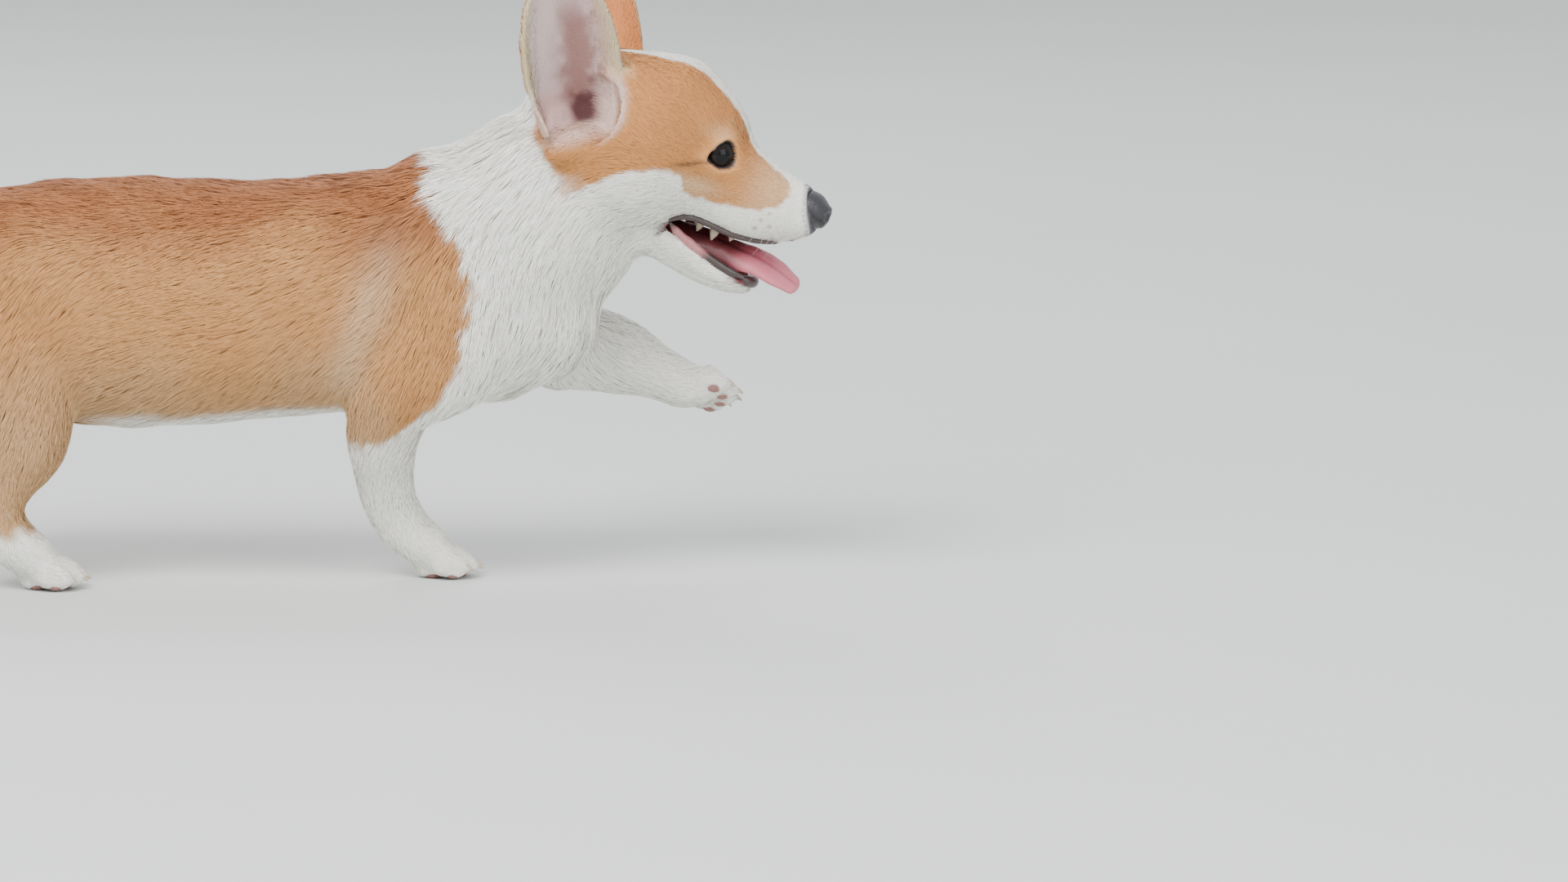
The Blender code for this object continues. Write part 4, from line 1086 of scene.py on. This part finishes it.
def growBlades(mesh, draw):
    root, normal = growRoots(mesh, draw)
    where = Where(root, normal)
    way, length = coatAt(where)
    depth = coatDepth(where, length)
    count = len(root)
    lively = np.clip(length / cm - 0.4, 0.1, 1.3)  # long hair is looser
    way = unit(way + np.cross(normal, way) * (draw.normal(size=(count, 1)) * coatSet["aside"]))
    long = length * draw.uniform(*coatSet["long"], count)
    rise = depth * draw.uniform(*coatSet["rise"], count) * (1 + 0.2 * wander(root, 0.012, 31) * lively)
    loose, earLoose = coatSet["loose"]
    rise += loose * step(length / cm, 1.5, 2.1) * draw.uniform(0, 1, count)
    rise += earLoose * where.onEar * step(np.abs(where.across), 0.7, 0.95) * draw.uniform(0, 1, count)
    # Tips draw together in tufts
    lead = clumps(root, 1 / coatSet["tuft"], draw)
    tip = root + way * long[:, None]
    least, more = coatSet["pull"]
    pull = (least + more * lively)[:, None]
    tip += pull * (root[lead] + way[lead] * long[lead][:, None] - tip)
    tip += pull * 0.4 * depth[:, None] * wander(root[lead], 0.004, 32)[:, None] * normal
    tree = treeOf(mesh)
    rings = [root - normal * 0.0003]
    ways = [normal]
    for share, high in coatSet["joints"]:
        flat, up, _ = nearestOn(tree, root + (tip - root) * share)
        up = unit(up + normal)
        rings.append(flat + up * (rise * high)[:, None])
        ways.append(up)
    width = coatSet["width"] * np.clip(length / cm, 0.2, 2.2) ** 0.4
    width *= draw.uniform(*coatSet["widths"], count)
    roll = draw.normal(size=count) * coatSet["roll"]
    along = unit(rings[2] - rings[0])
    across = unit(np.cross(along, normal))
    face = np.cross(across, along)
    across = across * np.cos(roll)[:, None] + face * np.sin(roll)[:, None]
    half = across * (width / 2)[:, None]
    foot, knee, end = rings
    points = np.stack([foot - half, foot + half, knee - half * 0.9, knee + half * 0.9, end], 1)
    soft = np.stack([ways[0], ways[0], ways[1], ways[1], ways[2]], 1)
    lean = unit(np.cross(along, across))
    lean *= np.sign((lean * normal).sum(axis=1))[:, None]
    soft = unit(soft * 0.85 + lean[:, None, :] * 0.25)
    return where, points, soft, length


def unwrapped(mesh, region, regionPoints):  # an unwrap of one region of the skin's own shape
    points, faces = pointsOf(mesh), trianglesOf(mesh)
    middle = points[faces].mean(axis=1)
    normals = normalsOf(mesh)
    where = Where(middle, unit(normals[faces].mean(axis=1)))
    keep = faces[regionOf(where) == region]
    used, back = np.unique(keep, return_inverse=True)
    part = shown("unwrap", arrayMesh("unwrap", points[used], back.reshape(-1, 3)))
    bpy.context.view_layer.objects.active = part
    part.select_set(True)
    bpy.ops.object.mode_set(mode="EDIT")
    bpy.ops.mesh.select_all(action="SELECT")
    bpy.ops.uv.smart_project(angle_limit=math.radians(66), island_margin=0.004)
    bpy.ops.object.mode_set(mode="OBJECT")
    layer = part.data.uv_layers.active.data
    flat = read(layer, "uv", 2).reshape(-1, 3, 2)
    corners = pointsOf(part.data)[trianglesOf(part.data)]
    tree = treeOf(part.data)
    place, _, face = nearestOn(tree, regionPoints)
    bpy.data.objects.remove(part, do_unlink=True)
    # Barycentric shares of each place in its face
    a, b, c = (corners[face][:, k] for k in range(3))
    ab, ac, ap = b - a, c - a, place - a
    d00, d01, d11 = (ab * ab).sum(1), (ab * ac).sum(1), (ac * ac).sum(1)
    d20, d21 = (ap * ab).sum(1), (ap * ac).sum(1)
    scale = np.maximum(d00 * d11 - d01 * d01, 1e-18)
    v = np.clip((d11 * d20 - d01 * d21) / scale, 0, 1)[:, None]
    w = np.clip((d00 * d21 - d01 * d20) / scale, 0, 1)[:, None]
    trio = flat[face]
    return trio[:, 0] * (1 - v - w) + trio[:, 1] * v + trio[:, 2] * w


def coatPaint():
    paint = Paint("coat", Roughness=0.7, Specular_IOR_Level=0.3, Sheen_Weight=0.08, Sheen_Roughness=0.5)
    streaks = paint.noise(500, 2)
    colour = paint.shaded(paint.attribute("hide", "Color"), 0.9 + 0.2 * streaks)
    return paint.finish(Base_Color=colour, Roughness=0.6 + 0.25 * streaks)


def thinnedSkin(mesh, share):
    thing = shown("thin", mesh.copy())
    thin = thing.modifiers.new("thin", "DECIMATE")
    thin.ratio = share
    return evaluated(thing)


def makeCoat(mesh):
    draw = np.random.default_rng(coatSet["seed"])
    where, points, soft, length = growBlades(mesh, draw)
    count = len(points)
    shade = draw.uniform(*coatSet["shades"], count)
    colour = colourAt(where) * shade[:, None]
    speck = draw.random(count) < coatSet["specks"] * step(-where.dog[:, 0], 12, 16)
    speck &= where.headness < 0.5
    colour[speck] *= 0.6
    # Painted shade deep in the coat: each blade darkens toward its root, and its tip is a little lighter as
    # painted light
    dark = 0.9 + 0.07 * fade(length / cm, 0.3, 1.2)
    full = np.ones(count)
    along = np.stack([dark, dark, 0.98 * full, 0.98 * full, 1.05 * full], 1)
    colour = colour[:, None, :] * along[:, :, None]
    region = regionOf(where)
    coarse = thinnedSkin(mesh, 0.03)
    material = coatPaint()
    faces = np.array([(0, 1, 3), (0, 3, 2), (2, 3, 4)])
    pad = coatSet["patch"] / 2
    corners = np.array([(-pad, -pad), (pad, -pad), (-pad, 0), (pad, 0), (0, pad)])
    for part, (name, slot) in regions.items():
        mine = np.nonzero(region == part)[0]
        flat = unwrapped(coarse, part, points[mine, 0])
        parts = math.ceil(len(mine) / coatSet["most"])
        order = np.argsort(where.dog[mine, 1 if part == "ears" else 0], kind="stable")
        for k, chosen in enumerate(np.array_split(order, parts)):
            at = mine[chosen]
            rows = (faces[None] + 5 * np.arange(len(at))[:, None, None]).reshape(-1, 3)
            made = arrayMesh(name, points[at].reshape(-1, 3), rows)
            setAttribute(made, "hide", colour[at].reshape(-1, 3))
            uv = (flat[chosen][:, None, :] + corners[None]).reshape(-1, 2)
            layer = made.uv_layers.new(name="OFBake")
            layer.data.foreach_set("uv", uv[rows.ravel()].astype(np.float32).ravel())
            made.normals_split_custom_set_from_vertices(soft[at].reshape(-1, 3))
            piece(f"{name}{k + 1}", made, material)
        print("coat", name, len(mine), "blades in", parts)


# Eyes
def makeEyes():
    paint = Paint("eye", Roughness=0.2, Specular_IOR_Level=0.05, Coat_Weight=0.36, Coat_Roughness=0.08)
    ring = paint.ramp(paint.attribute("gaze"), [
        (0.0, tint(5, 5, 6)),
        (0.32, tint(6, 5, 6)),
        (0.4, tint(24, 17, 13)),
        (0.62, tint(20, 14, 12)),
        (0.72, tint(12, 10, 10)),
        (1.0, tint(34, 27, 26)),
    ])
    material = paint.finish(Base_Color=paint.shaded(ring, 0.8 + 0.4 * paint.noise(900)))
    for side in sides:
        made = bmesh.new()
        radius = headSet["eyeRadius"] * cm - 0.0002
        bmesh.ops.create_uvsphere(made, u_segments=64, v_segments=48, radius=radius)
        made.transform(rotation(90, "Y"))
        for vertex in made.verts:  # the cornea stands a little proud
            angle = math.acos(max(-1, min(1, vertex.co.x / radius)))
            vertex.co *= 1 + 0.02 * math.exp(-((angle / 0.5) ** 4))
        mesh = meshOf(made, "eye")
        setAttribute(mesh, "gaze", np.arccos(np.clip(unit(pointsOf(mesh))[:, 0], -1, 1)) / 1.3)
        mesh.transform(eyeFrame(side))
        ball = piece(f"eyeball_{side}", mesh, material)
        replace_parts(ball, f"eye_{side}")
    paint = Paint("lid", Roughness=0.3, Coat_Weight=0.3, Coat_Roughness=0.2)
    colour = paint.mottled(300, tint(38, 30, 29), tint(62, 48, 45))
    rims = piece("lids", joined([lidRim(side) for side in sides]), paint.finish(Base_Color=colour))
    print("eyes", len(rims.data.polygons), "faces on the lids")


def ringFaces(rings, around, closed=False):  # four-sided faces from ring to ring
    k, j = np.meshgrid(np.arange(rings if closed else rings - 1), np.arange(around), indexing="ij")
    k, j = k.ravel(), j.ravel()
    far, turn = (k + 1) % rings, (j + 1) % around
    return np.stack([k * around + j, k * around + turn, far * around + turn, far * around + j], 1)


# Tubes along any path of points, which taper by their radii
def tube(path, radii, around=12, closed=False):
    before, after = (np.roll(path, k, axis=0) for k in (1, -1))
    ahead = after - before
    if not closed:
        ahead[0], ahead[-1] = path[1] - path[0], path[-1] - path[-2]
    ahead = unit(ahead)
    side = np.cross(ahead[0], (0.1, 0.3, 1.0))
    rings = []
    for way, centre, radius in zip(ahead, path, radii):
        side = unit(side - way * side.dot(way))
        up = np.cross(way, side)
        angle = 2 * math.pi * np.arange(around)[:, None] / around
        rings.append(centre + radius * (side * np.cos(angle) + up * np.sin(angle)))
    return sealed(arrayMesh("tube", np.concatenate(rings), ringFaces(len(path), around, closed)))


lidSet = {"proud": 0.035, "outside": 1.05, "upper": 0.085, "lower": 0.055, "points": 120}


def lidRim(side):
    angle = np.linspace(-math.pi, math.pi, lidSet["points"], endpoint=False)
    radius = openingAt(angle) * lidSet["outside"]
    ball = headSet["eyeRadius"] + lidSet["proud"]
    out = np.sqrt(ball**2 - radius**2)
    path = np.stack([out, -sides[side] * radius * np.cos(angle), radius * np.sin(angle)], 1)
    thick = lidSet["lower"] + (lidSet["upper"] - lidSet["lower"]) * step(np.sin(angle), -0.2, 0.5)
    return tube(outOf(path, eyeFrame(side)), thick * cm, closed=True)


# Lips: along the muzzle, the height of each lip's middle, its radius and how far in it lies
lipRolls = {
    "upper": {
        "u": (2.6, 3.0, 3.5, 4.5, 5.8, 7.0, 7.8, 8.3),
        "w": (-2.42, -2.08, -1.9, -2.02, -2.27, -2.25, -2.12, -1.95),
        "radius": (0.08, 0.15, 0.18, 0.18, 0.16, 0.13, 0.1, 0.05),
        "probe": 0.3,
    },
    "lower": {
        "u": (2.6, 3.0, 3.5, 4.5, 5.5, 6.3, 7.1),
        "w": (-2.5, -2.85, -3.16, -3.62, -3.98, -4.22, -4.36),
        "radius": (0.08, 0.2, 0.27, 0.28, 0.25, 0.22, 0.14),
        "probe": -0.4,
    },
}


chinLip = {"start": 6.6, "ahead": 0.85, "half": 0.9, "high": -4.4, "drop": 0.15, "thin": 0.16, "swell": 0.18}


def sideOf(tree, u, w, s, probe):  # how far out the muzzle's side is, just above or below a lip
    for reach in (1, 1.6, 2.4):
        start = outOf((u, 7.0 * s, w + probe * reach), headFrame)
        hit = tree.ray_cast(Vector(start), headFrame.to_3x3() @ Vector((0, -s, 0)))[0]
        if hit is not None and s * (headFrame.inverted() @ hit).y > 0.5 * cm:
            return s * (headFrame.inverted() @ hit).y / cm
    return 2.0


def makeLips(skin):
    tree = treeOf(skin)
    meshes, shares = [], []
    for name, lip in lipRolls.items():
        for s in sides.values():
            u = np.linspace(lip["u"][0], lip["u"][-1], 60)
            w, radius = (np.interp(u, lip["u"], lip[key]) for key in ("w", "radius"))
            y = [sideOf(tree, *place, s, lip["probe"]) for place in zip(u, w)]
            y = np.convolve(np.pad(y, 4, mode="edge"), np.ones(9) / 9, mode="valid")
            path = np.stack([u, s * (y - radius * 0.8), w], 1)
            for _ in range(12):
                path[1:-1] = (path[:-2] + 2 * path[1:-1] + path[2:]) / 4
            wave = 1 + 0.12 * wander(path * cm, 0.005, 71)
            meshes.append(tube(outOf(path, headFrame), radius * wave * cm, 14))
            pink = fade(u, 4.3, 5.1) * step(u, 2.7, 3.1) * (name == "lower")
            shares.append(np.repeat(pink, 14))
    turn = np.linspace(-math.pi / 2, math.pi / 2, 40)  # the dark lip round the chin
    ahead = np.cos(turn)
    path = np.stack([chinLip["start"] + chinLip["ahead"] * ahead, chinLip["half"] * np.sin(turn),
                     chinLip["high"] - chinLip["drop"] * ahead], 1)
    meshes.append(tube(outOf(path, headFrame), (chinLip["thin"] + chinLip["swell"] * ahead) * cm, 14))
    shares.append(np.zeros(len(turn) * 14))
    whole = joined(meshes)
    setAttribute(whole, "pink", np.concatenate(shares))
    paint = Paint("lips", Roughness=0.3, Coat_Weight=0.4, Coat_Roughness=0.2)
    colour = paint.mottled(260, bare["lips"], tint(66, 48, 46))
    rosy = paint.mottled(200, bare["gum"], tint(160, 92, 96))
    colour = paint.mix(paint.attribute("pink"), colour, rosy)
    paint.bump(paint.noise(900, 4), 0.0004, 0.5)
    material = paint.finish(Base_Color=colour, Roughness=0.28 + 0.2 * paint.noise(500))
    piece("lips", whole, material)


# Whiskers: roots along the muzzle and up it, in the head's frame
whiskerSet = {
    "seed": 9,
    "rows": ((-0.55, 6.9, 8.3, 4), (-1.05, 6.7, 8.4, 5), (-1.5, 6.9, 8.3, 4)),
    "spots": ((8.05, 0.31), (7.8, -1.17), (7.3, -0.95), (7.65, -0.5), (7.1, -1.45)),
    "brow": ((4.6, 1.7, 3.3), (4.3, 2.2, 3.2), (3.0, 3.9, -0.6)),
    "spot": 0.09,
    "length": (1.3, 2.6),
    "radius": 0.011,
}


def makeWhiskers(skin):
    draw = np.random.default_rng(whiskerSet["seed"])
    tree = treeOf(skin)
    roots = []
    for w, start, end, count in whiskerSet["rows"]:
        for u in np.linspace(start, end, count):
            roots.append(((u, 1.6, w), (0.35, 1.0, -0.35 + 0.3 * draw.uniform(-1, 1))))
    roots += [(place, (0.1, 0.6, 0.9 if place[2] > 0 else -0.5)) for place in whiskerSet["brow"]]
    meshes = []
    for place, way in roots:
        for s in sides.values():
            point = outOf([onSide(place, s)], headFrame)[0]
            root, _, _, _ = tree.find_nearest(Vector(point))
            way3 = unit(np.array(onSide(way, s)) + draw.normal(size=3) * 0.12)
            long = draw.uniform(*whiskerSet["length"]) * (0.6 if abs(place[1]) > 1.65 else 1)
            t = np.linspace(0, 1, 9)[:, None]
            bend = np.array((-0.45, 0, -0.25)) * long * t**2
            path = into(np.array(root)[None], headFrame) + way3 * long * t + bend - way3 * 0.05
            radii = whiskerSet["radius"] * cm * (1.02 - t[:, 0]) ** 0.7
            meshes.append(tube(outOf(path, headFrame), radii, 5))
    paint = Paint("whisker", Roughness=0.4)
    colour = paint.mottled(80, tint(225, 220, 210), tint(150, 138, 126))
    piece("whiskers", joined(meshes), paint.finish(Base_Color=colour))


# Swept forms: rows are x, y, z, up, down, side and squareness, in the centimetres of a frame
def smoothRows(rows, count):
    rows = np.array(rows, float)
    steps = np.linalg.norm(np.diff(rows[:, :3], axis=0), axis=1)
    at = np.concatenate([[0], np.cumsum(steps)])
    slope = np.gradient(rows, at, axis=0)
    out = []
    for s in np.linspace(0, at[-1], count):
        k = min(int(np.searchsorted(at, s, side="right")) - 1, len(steps) - 1)
        h, t = steps[k], (s - at[k]) / steps[k]
        out.append(
            (2 * t**3 - 3 * t**2 + 1) * rows[k]
            + (t**3 - 2 * t**2 + t) * h * slope[k]
            + (3 * t**2 - 2 * t**3) * rows[k + 1]
            + (t**3 - t**2) * h * slope[k + 1]
        )
    return np.array(out)


def swept(rows, rings, around, matrix, domes=(0.5, 0.5), domeRings=6):
    rows = smoothRows(rows, rings)
    path = rows[:, :3]
    along = unit(np.gradient(path, axis=0))
    loops = []
    turns = np.linspace(math.pi / 2, 0, domeRings + 1)[:-1]

    def dome(k, share, angles):  # rings that close an end
        far = share * rows[k, 3:6].mean()
        return [(path[k] + along[k] * far * math.sin(a), along[k], rows[k], math.cos(a)) for a in angles]

    plan = dome(0, -domes[0], turns) + [(path[k], along[k], rows[k], 1.0) for k in range(rings)]
    plan += dome(-1, domes[1], turns[::-1])
    angle = 2 * math.pi * np.arange(around) / around
    for centre, way, row, scale in plan:
        side = unit(np.array((0.0, 1.0, 0.0)) - way[1] * way)
        up = np.cross(way, side)
        power = 2 / row[6]
        flat = row[5] * np.sign(np.cos(angle)) * np.abs(np.cos(angle)) ** power
        tall = np.where(np.sin(angle) > 0, row[3], row[4])
        tall = tall * np.sign(np.sin(angle)) * np.abs(np.sin(angle)) ** power
        loops.append(centre + (side * flat[:, None] + up * tall[:, None]) * max(scale, 1e-3))
    points = outOf(np.concatenate(loops), matrix)
    return sealed(arrayMesh("swept", points, ringFaces(len(loops), around)), 2e-5)


def joined(meshes):
    made = bmesh.new()
    for mesh in meshes:
        made.from_mesh(mesh)
    return meshOf(made, "joined")


noseSet = {
    "rows": [
        (8.5, 0, 0.2, 0.75, 0.9, 0.95, 2.2),
        (9.1, 0, 0.15, 0.92, 1.08, 1.17, 2.2),
        (9.7, 0, 0.05, 0.84, 1.0, 1.12, 2.2),
        (10.15, 0, 0.0, 0.56, 0.72, 0.78, 2.1),
    ],
    "seat": (9.6, 0, 0.12),  # the middle of the dark skin round it
    "under": (9.6, 0, 0.1),
    "pebbles": ((0.004, 0.0011, 51), (0.003, 0.0006, 52)),
}


def makeNose():
    mesh = swept(noseSet["rows"], 48, 72, headFrame, domes=(0.3, 0.4), domeRings=14)
    points = pointsOf(mesh)
    u, across, w = into(points, headFrame).T
    y = np.abs(across)
    hole = hump((y, 0.42, 0.17), (w, 0.03, 0.2)) * step(u, 9.8, 10.2)
    slit = hump((w + 0.3 - 0.35 * (10.2 - u), 0, 0.11)) * step(y, 0.4, 0.6) * step(u, 9.3, 9.7)
    groove = hump((across, 0, 0.07)) * step(u, 9.9, 10.2) * fade(w, -0.1, 0.2)
    sunk = 0.4 * hole + 0.12 * slit + 0.07 * groove - wanders(points, noseSet["pebbles"])
    placed(mesh, points - normalsOf(mesh) * (sunk * cm)[:, None])
    # Painted shade: the nostrils and their slits are darkened in the leather's colour below
    setAttribute(mesh, "pit", np.clip(hole + slit, 0, 1))
    paint = Paint("noseLeather", Roughness=0.35, Coat_Weight=0.25, Coat_Roughness=0.25)
    colour = paint.mottled(120, tint(24, 23, 27), tint(46, 44, 51))
    colour = paint.shaded(colour, 1 - 0.8 * paint.attribute("pit"))
    paint.bump(paint.cells(1500), 0.0003, 0.6)
    material = paint.finish(Base_Color=colour, Roughness=0.32 + 0.25 * paint.noise(300))
    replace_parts(piece("noseLeather", mesh, material), "nose")


tongueRows = [  # its back is arched in the mouth
    (2.4, 0, -3.3, 0.6, 0.45, 0.9, 2.4),
    (4.2, 0, -3.7, 1.05, 0.45, 1.15, 2.3),
    (5.6, 0, -3.75, 1.0, 0.4, 1.1, 2.3),
    (7.3, 0, -3.45, 0.38, 0.33, 1.1, 2.5),
    (8.5, 0, -3.7, 0.25, 0.3, 1.1, 2.6),
    (9.5, 0, -4.1, 0.2, 0.24, 0.8, 2.4),
]
tongueRoll = 26


def makeTongue():
    pivot = shift((0, 0, -3.7))
    matrix = headFrame @ pivot @ rotation(tongueRoll, "X") @ pivot.inverted()
    mesh = swept(tongueRows, 60, 56, matrix, domes=(0.5, 0.95), domeRings=12)
    points = pointsOf(mesh)
    local = into(points, matrix)
    normals = normalsOf(mesh)
    top = step(normals @ np.array(matrix)[:3, 2], 0.2, 0.7)
    groove = np.exp(-((local[:, 1] / 0.13) ** 2)) * top * step(local[:, 0], 3.0, 4.5)
    groove *= fade(local[:, 0], 9.4, 10.1)
    ripple = 0.012 * wander(points, 0.004, 61)
    points = points - normals * ((0.11 * groove - ripple) * cm)[:, None]
    placed(mesh, points)
    # Painted shade: the tongue's back, inside the mouth, is painted dark red, and its groove is darkened
    setAttribute(mesh, "back", fade(local[:, 0], 5.8, 7.3))
    setAttribute(mesh, "groove", groove)
    wet = {"Roughness": 0.35, "Coat_Weight": 0.35, "Coat_Roughness": 0.15, "Subsurface_Weight": 0.15}
    paint = Paint("tongueSkin", **wet)
    colour = paint.mottled(90, tint(204, 116, 128), tint(190, 98, 112))
    # The back goes dark red and the groove darker: painted shade
    colour = paint.mix(paint.attribute("back"), colour, tint(104, 44, 48))
    colour = paint.shaded(colour, 1 - 0.3 * paint.attribute("groove"))
    paint.bump(paint.cells(1800), 0.0003, 0.5)
    material = paint.finish(Base_Color=colour, Roughness=0.3 + 0.2 * paint.noise(400))
    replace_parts(piece("tongueSkin", mesh, material), "tongue")


# Teeth: x, half width, z of the gum, height (down for the upper ones), radius
teethSet = {
    "upper": [
        (8.75, 0.2, -1.6, 0.16, 0.1),
        (8.65, 0.46, -1.62, 0.18, 0.11),
        (8.15, 0.86, -1.75, 0.4, 0.17),
        (7.1, 1.1, -2.0, 0.26, 0.16),
        (6.5, 1.25, -2.1, 0.3, 0.18),
        (5.9, 1.38, -2.2, 0.42, 0.22),
        (4.95, 1.48, -2.25, 0.6, 0.26),
        (4.1, 1.55, -2.2, 0.42, 0.22),
    ],
    "lower": [
        (7.2, 0.16, -4.55, -0.14, 0.09),
        (7.15, 0.38, -4.55, -0.14, 0.1),
        (6.9, 0.62, -4.5, -0.3, 0.13),
        (5.9, 0.9, -4.5, -0.25, 0.15),
        (5.2, 1.0, -4.4, -0.3, 0.17),
        (4.5, 1.1, -4.2, -0.3, 0.18),
    ],
}


def makeTeeth():
    meshes = []
    for rows in teethSet.values():
        for x, half, z, height, radius in rows:
            way = math.copysign(1, height)
            for s in sides.values():
                foot = (x, s * half, z + 0.25 * way)
                shape = [
                    (*foot, radius, radius, radius * 0.8, 2.2),
                    (x - 0.02, s * half, z - height * 0.4, radius * 0.9, radius * 0.9, radius * 0.7, 2.2),
                    (x - 0.06, s * half * 0.99, z - height, radius * 0.25, radius * 0.25, radius * 0.2, 2.0),
                ]
                meshes.append(swept(shape, 10, 16, headFrame, domes=(0.1, 0.8), domeRings=3))
    paint = Paint("teeth", Roughness=0.25, Coat_Weight=0.4)
    # Ivory darkened to a dull tan: painted shade inside the mouth
    colour = paint.mottled(300, tint(170, 154, 134), tint(122, 104, 88))
    material = paint.finish(Base_Color=colour, Roughness=0.2 + 0.15 * paint.noise(700))
    piece("teeth", joined(meshes), material)


# Paws: the leg's end, the middle of the toes and the way the back of the paw faces
pawSet = {
    "right fore": ((4.2, -0.5, 2.6), (6.5, -0.35, 0.78), (0, 0, 1)),
    "left fore": ((18.5, 3.5, 10.0), (20.35, 3.4, 9.55), (0.05, 0.55, 0.83)),
    "right hind": ((-16.3, -4.35, 2.5), (-14.1, -4.4, 0.78), (0, 0, 1)),
    "left hind": ((-23.6, 4.6, 2.7), (-21.4, 4.65, 0.78), (0, 0, 1)),
}
toes = ((-1.2, -0.2), (-0.43, 0.3), (0.43, 0.3), (1.2, -0.2))


def makeClaws():
    claws, pads = [], []
    for heel, toe, back in pawSet.values():
        heel, toe = Vector(heel), Vector(toe)
        up = Vector(back).normalized()
        out = toe - heel
        forward = (out - up * out.dot(up)).normalized()
        side = up.cross(forward)
        for across, ahead in toes:
            tip = toe + side * across + forward * (ahead + 0.55) - up * 0.1
            root = tip + forward * 0.3 + up * 0.04
            rows = [
                (*root, 0.17, 0.17, 0.12, 2.0),
                (*(root + forward * 0.35 - up * 0.03), 0.13, 0.14, 0.1, 2.0),
                (*(root + forward * 0.62 - up * 0.2), 0.05, 0.05, 0.04, 2.0),
            ]
            claws.append(swept(rows, 12, 14, dogFrame, domes=(0.2, 0.8), domeRings=3))
            pads.append((tip - forward * 0.2 - up * 0.36, forward, side, up, (0.4, 0.3, 0.24)))
        pads.append((toe - forward * 0.85 - up * 0.56, forward, side, up, (0.62, 0.85, 0.3)))
    paint = Paint("claw", Roughness=0.35, Coat_Weight=0.3)
    colour = paint.mottled(200, tint(205, 188, 165), tint(160, 140, 120))
    material = paint.finish(Base_Color=colour, Roughness=0.3 + 0.2 * paint.noise(500))
    piece("claws", joined(claws), material)
    made = bmesh.new()
    for centre, forward, side, up, radii in pads:
        ball = bmesh.ops.create_icosphere(made, subdivisions=4, radius=1)["verts"]
        turn = Matrix((forward, side, up)).transposed()
        for vertex in ball:
            local = Vector(vertex.co[k] * radii[k] for k in range(3))
            place = dogFrame @ ((centre + turn @ local) * cm)
            place.z = max(place.z, 0.0004)
            vertex.co = place
    mesh = meshOf(made, "pads")
    paint = Paint("pad", Roughness=0.6)
    colour = paint.mottled(150, tint(168, 118, 110), tint(122, 88, 84))
    paint.bump(paint.cells(1400), 0.0004, 0.7)
    material = paint.finish(Base_Color=colour, Roughness=0.55 + 0.2 * paint.noise(600))
    piece("pads", mesh, material)


def makeBody():
    mesh = makeSkin()
    print("skin", len(mesh.vertices), "points")
    makeCoat(mesh)
    share = skinSet["faces"] / (2 * len(mesh.polygons))
    fine = thinnedSkin(mesh, min(1.0, share))
    where = Where(pointsOf(fine), normalsOf(fine))
    setAttribute(fine, "hide", colourAt(where))
    setAttribute(fine, "wet", np.clip(where.mouth + (where.eye < 1.3), 0, 1))
    skin = piece("skin", fine, skinPaint())
    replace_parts(skin, *[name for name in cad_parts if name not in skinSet["apart"]])
    print("skin shown with", len(fine.polygons), "faces")
    makeLips(fine)
    makeWhiskers(fine)


# The photograph: 2300 pixels to the metre at the dog's middle, from 4 m and 8 degrees above
photo = {
    "frame": (1920, 1080),
    "scale": 2300,
    "origin": (400, 705),
    "height": 8,
    "distance": 4.0,
    "sensor": 36,
}


def makeCamera():
    camera = bpy.data.cameras.new("camera")
    camera.sensor_width = photo["sensor"]
    camera.lens = photo["sensor"] * photo["scale"] * photo["distance"] / photo["frame"][0]
    camera.clip_end = 100
    tilt = math.radians(photo["height"])
    across = (photo["frame"][0] / 2 - photo["origin"][0]) / photo["scale"]
    high = (photo["origin"][1] - photo["frame"][1] / 2) / photo["scale"] / math.cos(tilt)
    back = Vector((0, -math.cos(tilt), math.sin(tilt)))
    stand = shown("camera", camera)
    stand.location = dogFrame @ Vector((across, 0, high)) + back * photo["distance"]
    stand.rotation_euler = (-back).to_track_quat("-Z", "Y").to_euler()
    bpy.context.scene.camera = stand


studio = {
    # name: place, aim, size, power
    "key": ((-0.9, -2.0, 2.7), (0, 0, 0.15), 1.8, 155),
    "fill": ((2.4, -2.4, 1.2), (0, 0, 0.15), 2.2, 40),
    "rim": ((-0.6, 2.4, 2.4), (0, 0, 0.2), 1.6, 45),
}


def makeStudio():
    world = bpy.data.worlds.new("studio")
    bpy.context.scene.world = world
    world.use_nodes = True
    sky = world.node_tree.nodes["Background"]
    sky.inputs["Color"].default_value = (0.92, 0.95, 1.0, 1)
    sky.inputs["Strength"].default_value = 1.05
    for name, (place, aim, size, power) in studio.items():
        light = bpy.data.lights.new(name, "AREA")
        light.size = size
        light.energy = power
        lamp = shown(name, light)
        lamp.location = place
        lamp.rotation_euler = (Vector(aim) - Vector(place)).to_track_quat("-Z", "Y").to_euler()
    bpy.ops.mesh.primitive_plane_add(size=80)
    floor = bpy.context.object
    floor.name = "floor"
    paint = Paint("floor", Roughness=0.8)
    colour = paint.mottled(3, tint(205, 208, 204), tint(212, 214, 210))
    floor.data.materials.append(paint.finish(Base_Color=colour))


makeBody()
makeEyes()
makeNose()
makeTongue()
makeTeeth()
makeClaws()
print("details")
makeCamera()
makeStudio()
